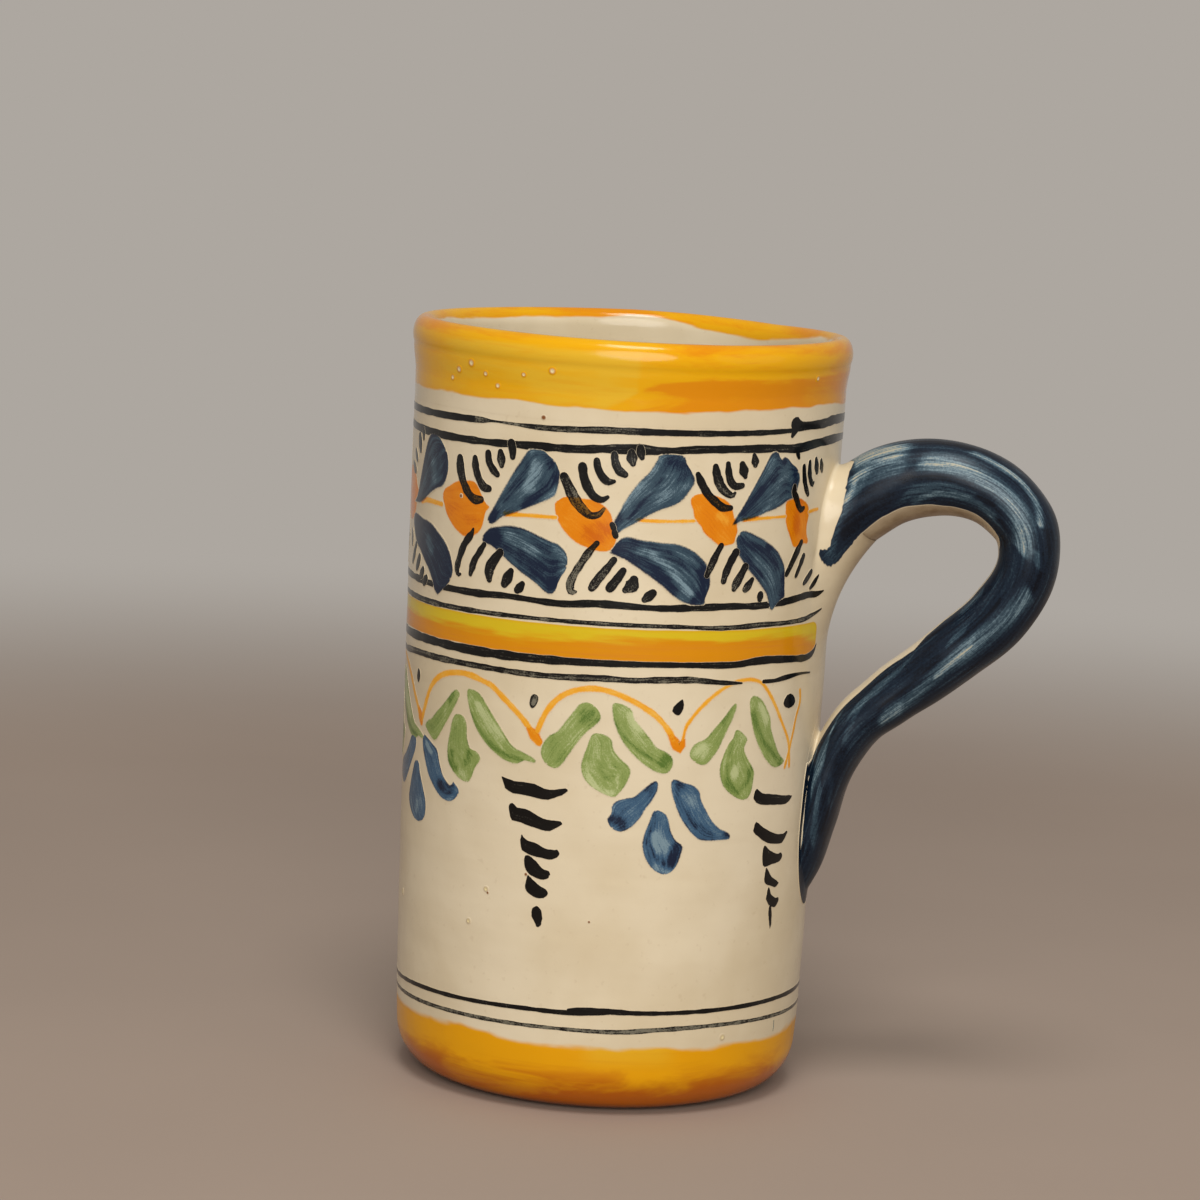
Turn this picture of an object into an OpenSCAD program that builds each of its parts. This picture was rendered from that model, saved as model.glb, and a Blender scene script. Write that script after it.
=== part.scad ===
// Hand-painted talavera mug: a tall thrown cup with a pulled coil handle.
// +Z is up, the table is z = 0, the cup's axis is the Z axis and the handle points towards +X.

/* [Cup] */
// Height of the cup from the table to the top of the lip
cup_h = 138.2; // [116:0.2:170]
// Outer diameter across the roll of the lip
lip_d = 80; // [70:0.2:96]
// How far the roll of the lip stands out from the neck under it
lip_bulge = 0.8; // [0.2:0.1:2.4]
// Outer diameter just above the rounded foot
foot_d = 73.8; // [64:0.2:90]
// Distance from the top of the lip down to the neck
neck_drop = 9; // [7:0.5:16]
// Thickness of the lip, glaze included
lip_t = 4.2; // [3:0.1:6]
// Height of the rounded part of the lip
lip_rise = 3.2; // [1.6:0.1:5]
// Thickness of the wall at the foot, glaze included
wall_t = 4.6; // [3:0.1:7]
// Thickness of the floor at its middle, glaze included
floor_t = 6.4; // [4:0.2:10]
// Radius of the rounded lower edge outside
foot_round = 8.5; // [4:0.5:12]
// Radius of the corner between floor and wall inside
well_round = 6; // [3:0.5:12]
// Width of the flat ring that the mug stands on
ring_w = 6; // [3:0.5:10]
// Depth of the turned recess under the floor
recess_h = 1; // [0.4:0.2:2]

/* [Glaze] */
// Thickness of the glaze coats
glaze_t = 0.4; // [0.3:0.05:0.8]
// Bare clay left at the foot, up from the table
bare_foot_h = 0.8; // [0.4:0.1:2]
// Height of the yellow foot band's upper edge
foot_band_top = 13.4; // [11:0.2:24]
// Height of the middle band's lower edge
middle_band_low = 81.6; // [60:0.2:86]
// Height of the middle band
middle_band_h = 6.7; // [3:0.1:10]
// Depth of the yellow rim band, down from the top of the lip
rim_band_h = 12; // [10:0.2:18]
// Depth of the yellow on the inside of the lip
rim_inside_h = 4.6; // [4:0.2:9]
// Bare white glaze between the middle band's ends and the handle joint
band_end_gap = 2; // [1:0.5:8]

/* [Handle] */
// Thickness of the coil at its crest
coil_d = 13.6; // [10:0.2:17]
// Width of the coil over its thickness, at the crest
coil_width_share = 1; // [0.8:0.05:1.2]
// How far the coil's centreline stands out from the wall
handle_reach = 35.8; // [30:0.2:44]
// Distance from the top of the lip down to the top of the handle
handle_drop = 17.1; // [14:0.1:30]
// Height at which the coil's smeared tail ends on the wall
handle_foot = 36; // [24:0.5:46]
// Sideways offset of the tail from the upper joint
tail_offset = 1.6; // [0:0.2:5]

/* [Joints] */
// Spread of the upper flare above the coil
upper_flare_top = 2; // [1:0.2:5]
// Spread of the upper flare at the coil's sides
upper_flare_side = 1.2; // [0.8:0.2:4]
// Spread of the upper flare below the coil
upper_flare_under = 14; // [6:0.5:17]
// How far the upper flare climbs the top of the coil
upper_climb_top = 4; // [2:0.5:7]
// How far the upper flare climbs the underside of the coil
upper_climb_under = 11; // [5:0.5:12]
// How much the flares fill their corners: 0 hugs the corner, 1 runs straight across
flare_fill_share = 0.2; // [0:0.05:0.6]
// Spread of the lower flare in the crotch above the tail
lower_flare_top = 5; // [2:0.5:8]
// Spread of the lower flare along the tail
lower_flare_side = 1.4; // [0.8:0.2:3]
// How far the lower flare climbs the coil in the crotch
lower_climb_top = 5; // [2:0.5:7]
// How far the lower flare climbs the tail's sides
lower_climb_side = 1.6; // [0.8:0.2:3]

/* [Hidden] */
$fn = 96;

clay_colour = [0.72, 0.42, 0.28];
cream_colour = [0.86, 0.80, 0.68];
yellow_colour = [0.93, 0.66, 0.08];
orange_colour = [0.90, 0.52, 0.08];
foot_colour = [0.84, 0.55, 0.06];
blue_colour = [0.12, 0.20, 0.32];

lip_r = lip_d / 2;
neck_r = lip_r - lip_bulge;
foot_r = foot_d / 2;
neck_z = cup_h - neck_drop;
foot_centre_r = foot_r - foot_round;
ring_inner_r = foot_centre_r - ring_w;
widest_r = max(lip_r, foot_r);
lip_centre_r = lip_r - lip_t / 2;
lip_centre_z = cup_h - lip_rise;
well_low_z = floor_t + well_round;
middle_band_top = middle_band_low + middle_band_h;
rim_band_low = cup_h - rim_band_h;
rim_inside_low = cup_h - rim_inside_h;

// How the wall opens from the foot to the neck: quickly at first, then slowly
swell_share = 0.65;
// Where the lip's round starts outside, and how far it turns to the inside, in degrees
lip_start_angle = -30;
lip_turn_angle = 210;
// Steps of the profile
wall_steps = 12;
foot_steps = 8;
lip_steps = 7;
well_steps = 6;

// Outer radius at height z, taken in by the thickness g
function outer_r(z, g) =
    z < foot_round
        ? foot_centre_r + sqrt(pow(foot_round - g, 2) - pow(min(foot_round - z, foot_round - g), 2))
        : foot_r - g + (neck_r - foot_r) * pow(min((z - foot_round) / (neck_z - foot_round), 1), swell_share);

// Radius of the inside of the cup at height z, with the glaze's thickness g given back to it
function inner_r(z, g) =
    let (rise = (z - floor_t) / (lip_centre_z - floor_t))
    outer_r(z, 0) - wall_t + (lip_r - lip_t - neck_r + wall_t) * rise + g;

// Heights at which the outer profile turns a little
profile_heights = concat(
    [for (i = [1 : foot_steps - 1]) foot_round * (1 - cos(90 * i / foot_steps))],
    [for (i = [0 : wall_steps]) foot_round + (neck_z - foot_round) * pow(i / wall_steps, 1 / swell_share)]);

// The profile's heights from low to high, both ends included
function heights(low, high) =
    concat([low], [for (z = profile_heights) if (z > low && z < high) z], [high]);

function reversed(list) = [for (i = [len(list) - 1 : -1 : 0]) list[i]];

// Outer wall from low to high, taken in by g
function wall_points(low, high, g) = [for (z = heights(low, high)) [outer_r(z, g), z]];

// The lip's round, from outside over the top to inside, taken in by g
function lip_points(g) =
    [for (i = [0 : lip_steps])
        let (turn = lip_start_angle + lip_turn_angle * i / lip_steps)
        [lip_centre_r + (lip_t / 2 - g) * cos(turn), lip_centre_z + (lip_rise - g) * sin(turn)]];

// Inside wall from high to low, given back g
function inside_points(high, low, g) =
    [for (i = [0 : wall_steps]) let (z = high + (low - high) * i / wall_steps) [inner_r(z, g), z]];

// Corner of the well and the floor's middle, given back g
function well_points(g) = concat(
    [for (i = [1 : well_steps])
        let (turn = -90 * i / well_steps)
        [inner_r(well_low_z, 0) - well_round + (well_round + g) * cos(turn),
         well_low_z + (well_round + g) * sin(turn)]],
    [[0, floor_t - g]]);

// Outer wall of clay, with a corner wherever one coat meets the next
function clay_wall_points() = concat(
    wall_points(bare_foot_h, foot_band_top, glaze_t),
    wall_points(foot_band_top, middle_band_low, glaze_t),
    wall_points(middle_band_low, middle_band_top, glaze_t),
    wall_points(middle_band_top, rim_band_low, glaze_t),
    wall_points(rim_band_low, neck_z, glaze_t));

// A coat of glaze over the outer wall, with a corner at each of the given heights
module wall_coat(marks) {
    last = len(marks) - 1;
    polygon(concat(
        [for (i = [1 : last]) each wall_points(marks[i - 1], marks[i], 0)],
        [for (i = [last : -1 : 1]) each reversed(wall_points(marks[i - 1], marks[i], glaze_t))]));
}

// Thrown cup of red clay: floor, wall and lip, with a turned foot ring
module clay_body() {
    color(clay_colour)
    rotate_extrude()
    polygon(concat(
        [[0, recess_h], [ring_inner_r - recess_h, recess_h], [ring_inner_r, 0]],
        [[foot_centre_r, 0]],
        wall_points(bare_foot_h / 2, bare_foot_h, 0),
        clay_wall_points(),
        lip_points(glaze_t),
        inside_points(rim_inside_low, well_low_z, glaze_t),
        well_points(glaze_t)));
}

// White tin glaze of the inside, from the rim band's edge to the middle of the floor
module inside_glaze() {
    color(cream_colour)
    rotate_extrude()
    polygon(concat(
        inside_points(rim_inside_low, well_low_z, 0),
        well_points(0),
        reversed(well_points(glaze_t)),
        reversed(inside_points(rim_inside_low, well_low_z, glaze_t))));
}

// Yellow band over the lip, from outside to inside
module rim_band() {
    color(yellow_colour)
    rotate_extrude()
    polygon(concat(
        wall_points(rim_band_low, neck_z, 0),
        lip_points(0),
        [[inner_r(rim_inside_low, 0), rim_inside_low], [inner_r(rim_inside_low, glaze_t), rim_inside_low]],
        reversed(lip_points(glaze_t)),
        reversed(wall_points(rim_band_low, neck_z, glaze_t))));
}

// Browner yellow band round the foot
module foot_band() {
    color(foot_colour)
    rotate_extrude()
    wall_coat([bare_foot_h, foot_band_top]);
}

// The painted band half way up, which stops short of the handle
module middle_band() {
    color(orange_colour)
    rotate_extrude(angle = 360 - 2 * band_gap_turn, start = band_gap_turn)
    wall_coat([middle_band_low, middle_band_top]);
}

// White tin glaze of the outer wall, open at the middle band and where the joints sit on the clay
module white_glaze() {
    color(cream_colour)
    difference() {
        rotate_extrude()
        wall_coat([foot_band_top, middle_band_low, middle_band_top, rim_band_low]);
        rotate_extrude(angle = 360 - 2 * band_gap_turn, start = band_gap_turn)
        translate([foot_centre_r, middle_band_low])
        square([widest_r - foot_centre_r, middle_band_h]);
        joint_window(upper_edge);
        joint_window(lower_edge);
    }
}

// Opening through the glaze, of a joint's own outline
module joint_window(edge) {
    translate([foot_centre_r / 2, 0, 0])
    rotate([90, 0, 90])
    linear_extrude(widest_r)
    polygon([for (p = edge) [p.y, p.z]]);
}

// Stations of the coil, from inside the wall at the top to inside the wall at the tail.
// Each row: share of the reach, of the offset, of the height, of the thickness and of the width.
coil_shares = [
    [-0.324, -0.50, 0.747, 1.21, 1.10],
    [-0.127, -0.48, 0.826, 1.18, 1.10],
    [ 0.070, -0.46, 0.902, 1.08, 1.05],
    [ 0.285, -0.42, 0.972, 1.05, 1.02],
    [ 0.544, -0.35, 1.000, 1.00, 1.00],
    [ 0.792, -0.26, 0.976, 0.92, 0.95],
    [ 0.949, -0.18, 0.916, 0.84, 0.90],
    [ 1.000, -0.12, 0.845, 0.81, 0.88],
    [ 0.966, -0.04, 0.769, 0.82, 0.88],
    [ 0.862,  0.04, 0.691, 0.84, 0.88],
    [ 0.687,  0.12, 0.612, 0.84, 0.88],
    [ 0.502,  0.20, 0.540, 0.80, 0.88],
    [ 0.349,  0.27, 0.483, 0.75, 0.90],
    [ 0.217,  0.33, 0.427, 0.70, 0.95],
    [ 0.118,  0.39, 0.358, 0.64, 1.02],
    [ 0.054,  0.43, 0.275, 0.58, 1.05],
    [ 0.011,  0.46, 0.179, 0.54, 1.02],
    [-0.045,  0.48, 0.089, 0.53, 0.88],
    [-0.132,  0.50, 0.000, 0.50, 0.64],
];
coil_last = len(coil_shares) - 1;
crest_z = cup_h - handle_drop - coil_d / 2;
coil_foot_r = outer_r((crest_z + handle_foot) / 2, 0);
coil_stations = [for (s = coil_shares) [
    coil_foot_r + handle_reach * s[0],
    tail_offset * s[1],
    handle_foot + (crest_z - handle_foot) * s[2],
    coil_d / 2 * s[3],
    coil_d / 2 * coil_width_share * s[4]]];
// Mean length of coil between two stations, which turns a length into a stretch of stations
coil_pitch = (crest_z - handle_foot + 2 * handle_reach) / coil_last;

// Smooth value through the stations at place u, counted in stations
function coil_at(u) =
    let (
        i = min(floor(u), coil_last - 1),
        t = u - i,
        a = coil_stations[max(i - 1, 0)],
        b = coil_stations[i],
        c = coil_stations[i + 1],
        d = coil_stations[min(i + 2, coil_last)])
    b + (c - a) * t / 2 + (2 * a - 5 * b + 4 * c - d) * t * t / 2 + (3 * b - a - 3 * c + d) * t * t * t / 2;

// Stretch of stations over which the coil's direction is taken
heading_share = 0.05;

// Direction of the coil at u in the handle's plane, as a unit pair
function coil_heading(u) =
    let (
        near = coil_at(max(u - heading_share, 0)),
        far = coil_at(min(u + heading_share, coil_last)),
        run = [far[0] - near[0], far[2] - near[2]])
    run / norm(run);

// Point of the coil's surface at place u: turn 0 is the outer side of the loop and 180 the inner side
function coil_point(u, turn) =
    let (
        c = coil_at(u),
        h = coil_heading(u))
    [c[0] - h.y * c[3] * cos(turn), c[1] + c[4] * sin(turn), c[2] + h.x * c[3] * cos(turn)];

function clay_wall_gap(p) = norm([p.x, p.y]) - outer_r(p.z, glaze_t);

// Place at which one line along the coil meets the clay, found by halving the stretch from in to out
function wall_place(turn, in, out, halvings) =
    let (middle = (in + out) / 2)
    halvings == 0
        ? middle
        : clay_wall_gap(coil_point(middle, turn)) > 0
            ? wall_place(turn, in, middle, halvings - 1)
            : wall_place(turn, middle, out, halvings - 1);

coil_sides = 24;
halving_count = 22;
// Stretch over which the coil runs free, with plain round sections
upper_free_share = 0.19;
lower_free_share = 0.67;
upper_free = coil_last * upper_free_share;
lower_free = coil_last * lower_free_share;
free_rings = 30;
fan_rings = 4;
climb_rings = 4;
flare_rings = 7;
seat_rings = 2;

coil_turns = [for (j = [0 : coil_sides - 1]) 360 * j / coil_sides];
upper_places = [for (turn = coil_turns) wall_place(turn, 0, upper_free, halving_count)];
lower_places = [for (turn = coil_turns) wall_place(turn, coil_last, lower_free, halving_count)];

// Value round the coil that is at_outer on its outer side, at_side on its sides and at_inner on its inner side
function round_value(turn, at_outer, at_side, at_inner) =
    at_side + (cos(turn) > 0 ? at_outer - at_side : at_inner - at_side) * pow(abs(cos(turn)), 2);

upper_climbs = [for (turn = coil_turns)
    round_value(turn, upper_climb_top, (upper_climb_top + upper_climb_under) / 2, upper_climb_under) / coil_pitch];
lower_climbs = [for (turn = coil_turns)
    round_value(turn, lower_climb_side, lower_climb_side, lower_climb_top) / coil_pitch];

// Places round the coil of each ring, from the clay at the top to the clay at the tail
ring_places = concat(
    [for (k = [0 : climb_rings]) upper_places + upper_climbs * k / climb_rings],
    [for (k = [1 : fan_rings])
        let (share = k / (fan_rings + 1))
        (upper_places + upper_climbs) * (1 - share) + [for (turn = coil_turns) upper_free] * share],
    [for (k = [0 : free_rings])
        [for (turn = coil_turns) upper_free + (lower_free - upper_free) * k / free_rings]],
    [for (k = [1 : fan_rings * 2])
        let (share = k / (fan_rings * 2 + 1))
        (lower_places - lower_climbs) * share + [for (turn = coil_turns) lower_free] * (1 - share)],
    [for (k = [climb_rings : -1 : 0]) lower_places - lower_climbs * k / climb_rings]);
coil_rings = [for (places = ring_places)
    [for (j = [0 : coil_sides - 1]) coil_point(places[j], coil_turns[j])]];
upper_seat = coil_rings[0];
lower_seat = coil_rings[len(coil_rings) - 1];

// Point of the wall level with p, at the depth g under the finished surface
function on_wall(p, g) =
    let (r = outer_r(p.z, g))
    [sqrt(r * r - p.y * p.y), p.y, p.z];

function middle_of(ring) = [for (axis = [0 : 2]) (max([for (p = ring) p[axis]]) + min([for (p = ring) p[axis]])) / 2];

// Outline of a flare on the wall: the seat spread by a length that changes round the coil
function spread(seat, lengths, up) =
    [for (j = [0 : coil_sides - 1])
        on_wall(seat[j] + lengths[j] * [0, sin(coil_turns[j]), up * cos(coil_turns[j])], 0)];

upper_edge = spread(upper_seat,
    [for (turn = coil_turns) round_value(turn, upper_flare_top, upper_flare_side, upper_flare_under)], 1);
lower_edge = spread(lower_seat,
    [for (turn = coil_turns) round_value(turn, lower_flare_side, lower_flare_side, lower_flare_top)], -1);

// Half the width of the joint beside the middle band, and half of the band's gap as an angle
joint_half_w = max(concat([0], [
    for (p = concat(upper_edge, lower_edge))
        if (p.z > middle_band_low - band_end_gap && p.z < middle_band_top + band_end_gap) abs(p.y)]));
band_gap_turn = asin((joint_half_w + band_end_gap) / outer_r(middle_band_low, 0));

// Rings that shrink a seat to its middle along the clay, so that the end follows the round wall
function seat_cap(seat) =
    let (middle = middle_of(seat))
    [for (k = [1 : seat_rings])
        let (share = k / (seat_rings + 1))
        [for (p = seat) on_wall(p * (1 - share) + middle * share, glaze_t)]];

// Faces between neighbouring rings of a tube
function tube_faces(rings) =
    [for (k = [0 : rings - 2]) for (j = [0 : coil_sides - 1])
        let (
            a = k * coil_sides + j,
            b = k * coil_sides + (j + 1) % coil_sides)
        each [[a, b, a + coil_sides], [b, b + coil_sides, a + coil_sides]]];

// Fan from a ring to one middle point
function fan_faces(first, middle, turned) =
    [for (j = [0 : coil_sides - 1])
        let (
            a = first + j,
            b = first + (j + 1) % coil_sides)
        turned ? [b, a, middle] : [a, b, middle]];

// Coil of clay, pressed on the wall at the top and smeared into a tail at the bottom
module handle() {
    rings = concat(reversed(seat_cap(upper_seat)), coil_rings, seat_cap(lower_seat));
    count = len(rings) * coil_sides;
    points = concat(
        [for (ring = rings) each ring],
        [on_wall(middle_of(upper_seat), glaze_t), on_wall(middle_of(lower_seat), glaze_t)]);
    color(blue_colour)
    polyhedron(points, concat(
        tube_faces(len(rings)),
        fan_faces(0, count, true),
        fan_faces(count - coil_sides, count + 1, false)));
}

// Hollow curve from the coil down to the wall, bent round the corner between them
function flare_ring(climb, seat, edge, share) =
    [for (j = [0 : coil_sides - 1])
        let (
            straight = (climb[j] + edge[j]) / 2,
            corner = on_wall(seat[j], 0) * (1 - flare_fill_share) + straight * flare_fill_share)
        climb[j] * pow(1 - share, 2) + corner * 2 * share * (1 - share) + edge[j] * pow(share, 2)];

// Collar of slip that fairs the coil into the wall: coil holds its rings from the seat to the climb
module luting(coil, edge, turned) {
    seat = coil[0];
    climb = coil[len(coil) - 1];
    rings = concat(
        coil,
        [for (k = [1 : flare_rings]) flare_ring(climb, seat, edge, k / flare_rings)],
        [for (k = [0 : seat_rings])
            let (share = k / (seat_rings + 1))
            [for (j = [0 : coil_sides - 1]) on_wall(edge[j] * (1 - share) + seat[j] * share, glaze_t)]]);
    around = concat(rings, [rings[0]]);
    total = len(rings) * coil_sides;
    faces = [for (f = tube_faces(len(around))) [for (i = f) i % total]];
    polyhedron([for (ring = rings) each ring], turned ? [for (f = faces) reversed(f)] : faces);
}

// Broad flare under and round the upper joint
module upper_luting() {
    color(cream_colour)
    luting([for (k = [0 : climb_rings]) coil_rings[k]], upper_edge, true);
}

// Narrow collar along the smeared tail, with a small web in the crotch
module lower_luting() {
    last = len(coil_rings) - 1;
    color(cream_colour)
    luting([for (k = [0 : climb_rings]) coil_rings[last - k]], lower_edge, false);
}

clay_body();
inside_glaze();
white_glaze();
rim_band();
middle_band();
foot_band();
handle();
upper_luting();
lower_luting();
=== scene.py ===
import math
import random

import bmesh
import bpy
from bpy.props import FloatProperty, FloatVectorProperty, PointerProperty
from bpy.types import Operator, Panel, PropertyGroup
from mathutils import Matrix, Vector, noise
from mathutils.bvhtree import BVHTree


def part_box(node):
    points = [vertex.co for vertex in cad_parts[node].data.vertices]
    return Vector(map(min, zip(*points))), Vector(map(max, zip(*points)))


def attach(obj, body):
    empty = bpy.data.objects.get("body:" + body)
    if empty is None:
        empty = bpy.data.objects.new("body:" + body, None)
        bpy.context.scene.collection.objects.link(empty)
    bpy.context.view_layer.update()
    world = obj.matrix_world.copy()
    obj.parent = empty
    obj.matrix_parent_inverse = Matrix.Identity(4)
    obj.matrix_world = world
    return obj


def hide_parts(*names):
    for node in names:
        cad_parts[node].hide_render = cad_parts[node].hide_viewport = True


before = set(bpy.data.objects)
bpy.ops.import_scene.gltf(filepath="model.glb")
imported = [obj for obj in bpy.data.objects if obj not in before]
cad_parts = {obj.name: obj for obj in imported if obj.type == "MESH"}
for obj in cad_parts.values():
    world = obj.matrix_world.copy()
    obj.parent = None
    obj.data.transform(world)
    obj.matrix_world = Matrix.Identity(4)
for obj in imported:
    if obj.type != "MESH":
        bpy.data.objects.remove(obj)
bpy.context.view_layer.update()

bl_info = {
    "name": "Talavera Mug",
    "version": (1, 0, 0),
    "blender": (4, 5, 0),
    "location": "View3D > Sidebar > Mug",
    "description": "Glazes and paints a thrown mug with a pulled coil handle",
    "category": "Add Mesh",
}

MM = 0.001
RIM_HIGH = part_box("rim_band")[1]

# The view angle of the painted front: 0 faces the camera, 78 is the handle
HANDLE_ANGLE = 78.0
CAMERA_PLACE = Vector((0.0, -706.28, 183.55))
CAMERA_TURN = 12.0
CAMERA_PITCH, CAMERA_YAW, CAMERA_ROLL = 7.773, -0.272, 3.111
CAMERA_LENS = 117.06


# ---- Sizes and colours ----

def srgb(red, green, blue):
    """A colour written from 0 to 255, as Blender keeps it."""
    parts = []
    for value in (red, green, blue):
        value = value / 255
        parts.append(value / 12.92 if value <= 0.04045 else ((value + 0.055) / 1.055) ** 2.4)
    return tuple(parts)


def length(name, description, default, low=0.0):
    return FloatProperty(name=name, description=description, default=default, min=low, unit="LENGTH", precision=5)


def scaled(tint, by):
    """A colour made darker or lighter."""
    return tuple(part * by for part in tint)


def colour(name, description, red, green, blue):
    return FloatVectorProperty(name=name, description=description, default=srgb(red, green, blue),
                               min=0.0, max=1.0, size=3, subtype="COLOR")


class MugSizes(PropertyGroup):
    cup_height: length("Cup height", "From the table to the top of the lip", RIM_HIGH.z)
    lip_radius: length("Lip radius", "Outer radius of the roll of the lip", RIM_HIGH.x)
    foot_radius: length("Foot radius", "Outer radius just above the rounded foot", 0.0369)
    wall_thickness: length("Wall thickness", "Thickness of the wall at the foot", 0.0046)
    floor_thickness: length("Floor thickness", "Thickness of the floor at its middle", 0.0064)
    handle_reach: length("Handle reach", "From the wall to the coil's centreline", 0.0358)
    coil_thickness: length("Coil thickness", "Thickness of the coil at its crest", 0.0136)
    paint_height: length("Paint height", "How far a brush stroke stands on the glaze", 0.000016)
    unevenness: FloatProperty(name="Unevenness", description="How far the thrown wall strays from a true round",
                              default=1.0, min=0.0, max=1.5, subtype="FACTOR")


class MugColours(PropertyGroup):
    clay: colour("Clay", "Bare fired clay under the foot", 176, 112, 78)
    cream: colour("Cream glaze", "White tin glaze", 216, 201, 172)
    cream_shade: colour("Cream shade", "Darker and browner places in the white glaze", 205, 188, 156)
    rim: colour("Rim yellow", "Yellow over the lip", 220, 160, 0)
    rim_pale: colour("Rim pale", "Thin places in the yellow of the lip", 217, 170, 38)
    rim_dark: colour("Rim orange", "Orange where the rim was painted twice", 212, 132, 0)
    band_yellow: colour("Band yellow", "Upper part of the middle band", 208, 178, 26)
    band_orange: colour("Band orange", "Lower part of the middle band", 208, 134, 0)
    foot: colour("Foot yellow", "Upper part of the foot band", 219, 152, 0)
    foot_dark: colour("Foot brown", "Lower part of the foot band", 178, 92, 2)
    petal: colour("Petal blue", "Cobalt of the frieze", 52, 72, 85)
    leaf_blue: colour("Leaf blue", "Cobalt of the leaves", 56, 86, 112)
    blue_dark: colour("Dark blue", "Pooled ends of the blue brushwork", 16, 28, 50)
    blue_pale: colour("Pale blue", "Thin places in the blue brushwork", 116, 138, 148)
    handle_blue: colour("Handle blue", "Blue on the coil", 18, 30, 44)
    handle_dark: colour("Handle dark blue", "Thickest blue on the coil", 5, 11, 22)
    green: colour("Green", "Copper green leaves", 132, 147, 80)
    green_dark: colour("Dark green", "Pooled edges of the green leaves", 84, 110, 44)
    green_pale: colour("Pale green", "Thin places in the green leaves", 178, 185, 132)
    black: colour("Black", "Outlines and dashes", 12, 11, 10)
    black_pale: colour("Thin black", "Thin places in the black brushwork", 112, 107, 92)
    orange: colour("Orange", "Dots of the frieze", 216, 124, 2)
    orange_dark: colour("Dark orange", "Pooled places in the orange dots", 198, 98, 0)
    orange_pale: colour("Pale orange", "Thin places in the orange dots", 226, 152, 40)
    arch: colour("Arch yellow", "Thin arches of the garland", 226, 156, 34)
    arch_pale: colour("Pale arch yellow", "Thin places in the arches", 230, 184, 90)
    floor: colour("Floor", "Plain floor", 162, 144, 130)
    backdrop: colour("Backdrop", "Plain backdrop", 173, 167, 160)


# ---- Plain sums ----

def clamp(value, low=0.0, high=1.0):
    return min(max(value, low), high)


def ease(value):
    value = clamp(value)
    return value * value * (3 - 2 * value)


def points(text):
    """Tuples of numbers from a plain list such as "1 2, 3 4"."""
    return [tuple(float(part) for part in pair.split()) for pair in text.split(",")]


def widened(text, by=1.0):
    """A line's points and its widths times by, from a plain list of angle, height and width."""
    table = points(text)
    return [place[:2] for place in table], [place[2] * by for place in table]


def along_table(table, place):
    """Value at a place in a table of (place, value), held beyond both ends."""
    if place <= table[0][0]:
        return table[0][1]
    for (low, first), (high, second) in zip(table, table[1:]):
        if place <= high:
            return first + (second - first) * (place - low) / max(high - low, 1e-9)
    return table[-1][1]


def bend(t, *four):
    """Place at share t between the middle two of four, on the smooth curve through them all."""
    return tuple(q + (r - p) * t / 2 + (2 * p - 5 * q + 4 * r - s) * t * t / 2 + (3 * q - p - 3 * r + s) * t ** 3 / 2
                 for p, q, r, s in zip(*four))


def smooth_curve(given, steps, closed=False):
    """Dense points on a smooth curve through the given ones, which may hold more than two numbers each."""
    count = len(given)
    made = []
    for index in range(count if closed else count - 1):
        four = [given[(index + k) % count if closed else clamp(index + k, 0, count - 1)] for k in (-1, 0, 1, 2)]
        made += [bend(step / steps, *four) for step in range(steps)]
    if not closed:
        made.append(tuple(given[-1]))
    return made


def evenly(curve, shares):
    """Points at the given shares of a polyline's length, measured on its first two numbers."""
    runs = [0.0]
    for p, q in zip(curve, curve[1:]):
        runs.append(runs[-1] + math.hypot(q[0] - p[0], q[1] - p[1]))
    total = runs[-1] or 1e-9
    made, index = [], 0
    for share in shares:
        goal = share * total
        while index < len(runs) - 2 and runs[index + 1] < goal:
            index += 1
        t = (goal - runs[index]) / max(runs[index + 1] - runs[index], 1e-9)
        made.append(tuple(p + (q - p) * clamp(t) for p, q in zip(curve[index], curve[index + 1])))
    return made, total


def line_gap(x, y, line):
    """Distance from a place to a polyline."""
    best = 1e9
    for a, b in zip(line, line[1:]):
        run, rise = b[0] - a[0], b[1] - a[1]
        share = clamp(((x - a[0]) * run + (y - a[1]) * rise) / max(run * run + rise * rise, 1e-9))
        best = min(best, math.hypot(x - a[0] - run * share, y - a[1] - rise * share))
    return best


def inside(x, y, outline):
    hit = False
    for a, b in zip(outline, outline[1:] + outline[:1]):
        if (a[1] > y) != (b[1] > y) and x < a[0] + (b[0] - a[0]) * (y - a[1]) / (b[1] - a[1]):
            hit = not hit
    return hit


def tone_marks(text):
    """Darker and paler places in a stroke from "place, place: half width, amount; ..."."""
    made = []
    for mark in filter(None, text.split(";")):
        line, size = mark.split(":")
        made.append((points(line), *points(size)[0]))
    return made


def tone_at(x, y, marks):
    """Sum of the marks at a place, with each mark's line in the same measure."""
    return sum(amount * (1 - ease((line_gap(x, y, line) / half - 0.3) / 1.1)) for line, half, amount in marks)


# ---- The thrown cup ----

# How far the lip stands off its true level in millimetres, by view angle
LIP_LEVELS = points("-180 -0.05, -135 -0.4, -90 -0.5, -70 -0.5, -45 -0.65, -20 -0.9, 0 -1, 25 -1, 50 -0.8, 75 -0.6, "
                    "90 -0.55, 135 -0.75, 165 -0.15, 180 -0.05")


def view_angle(turn):
    """Angle round the cup as the front is painted, from -180 to 180, for an angle about +Z from +X in degrees."""
    return (turn + HANDLE_ANGLE + 180) % 360 - 180


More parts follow.
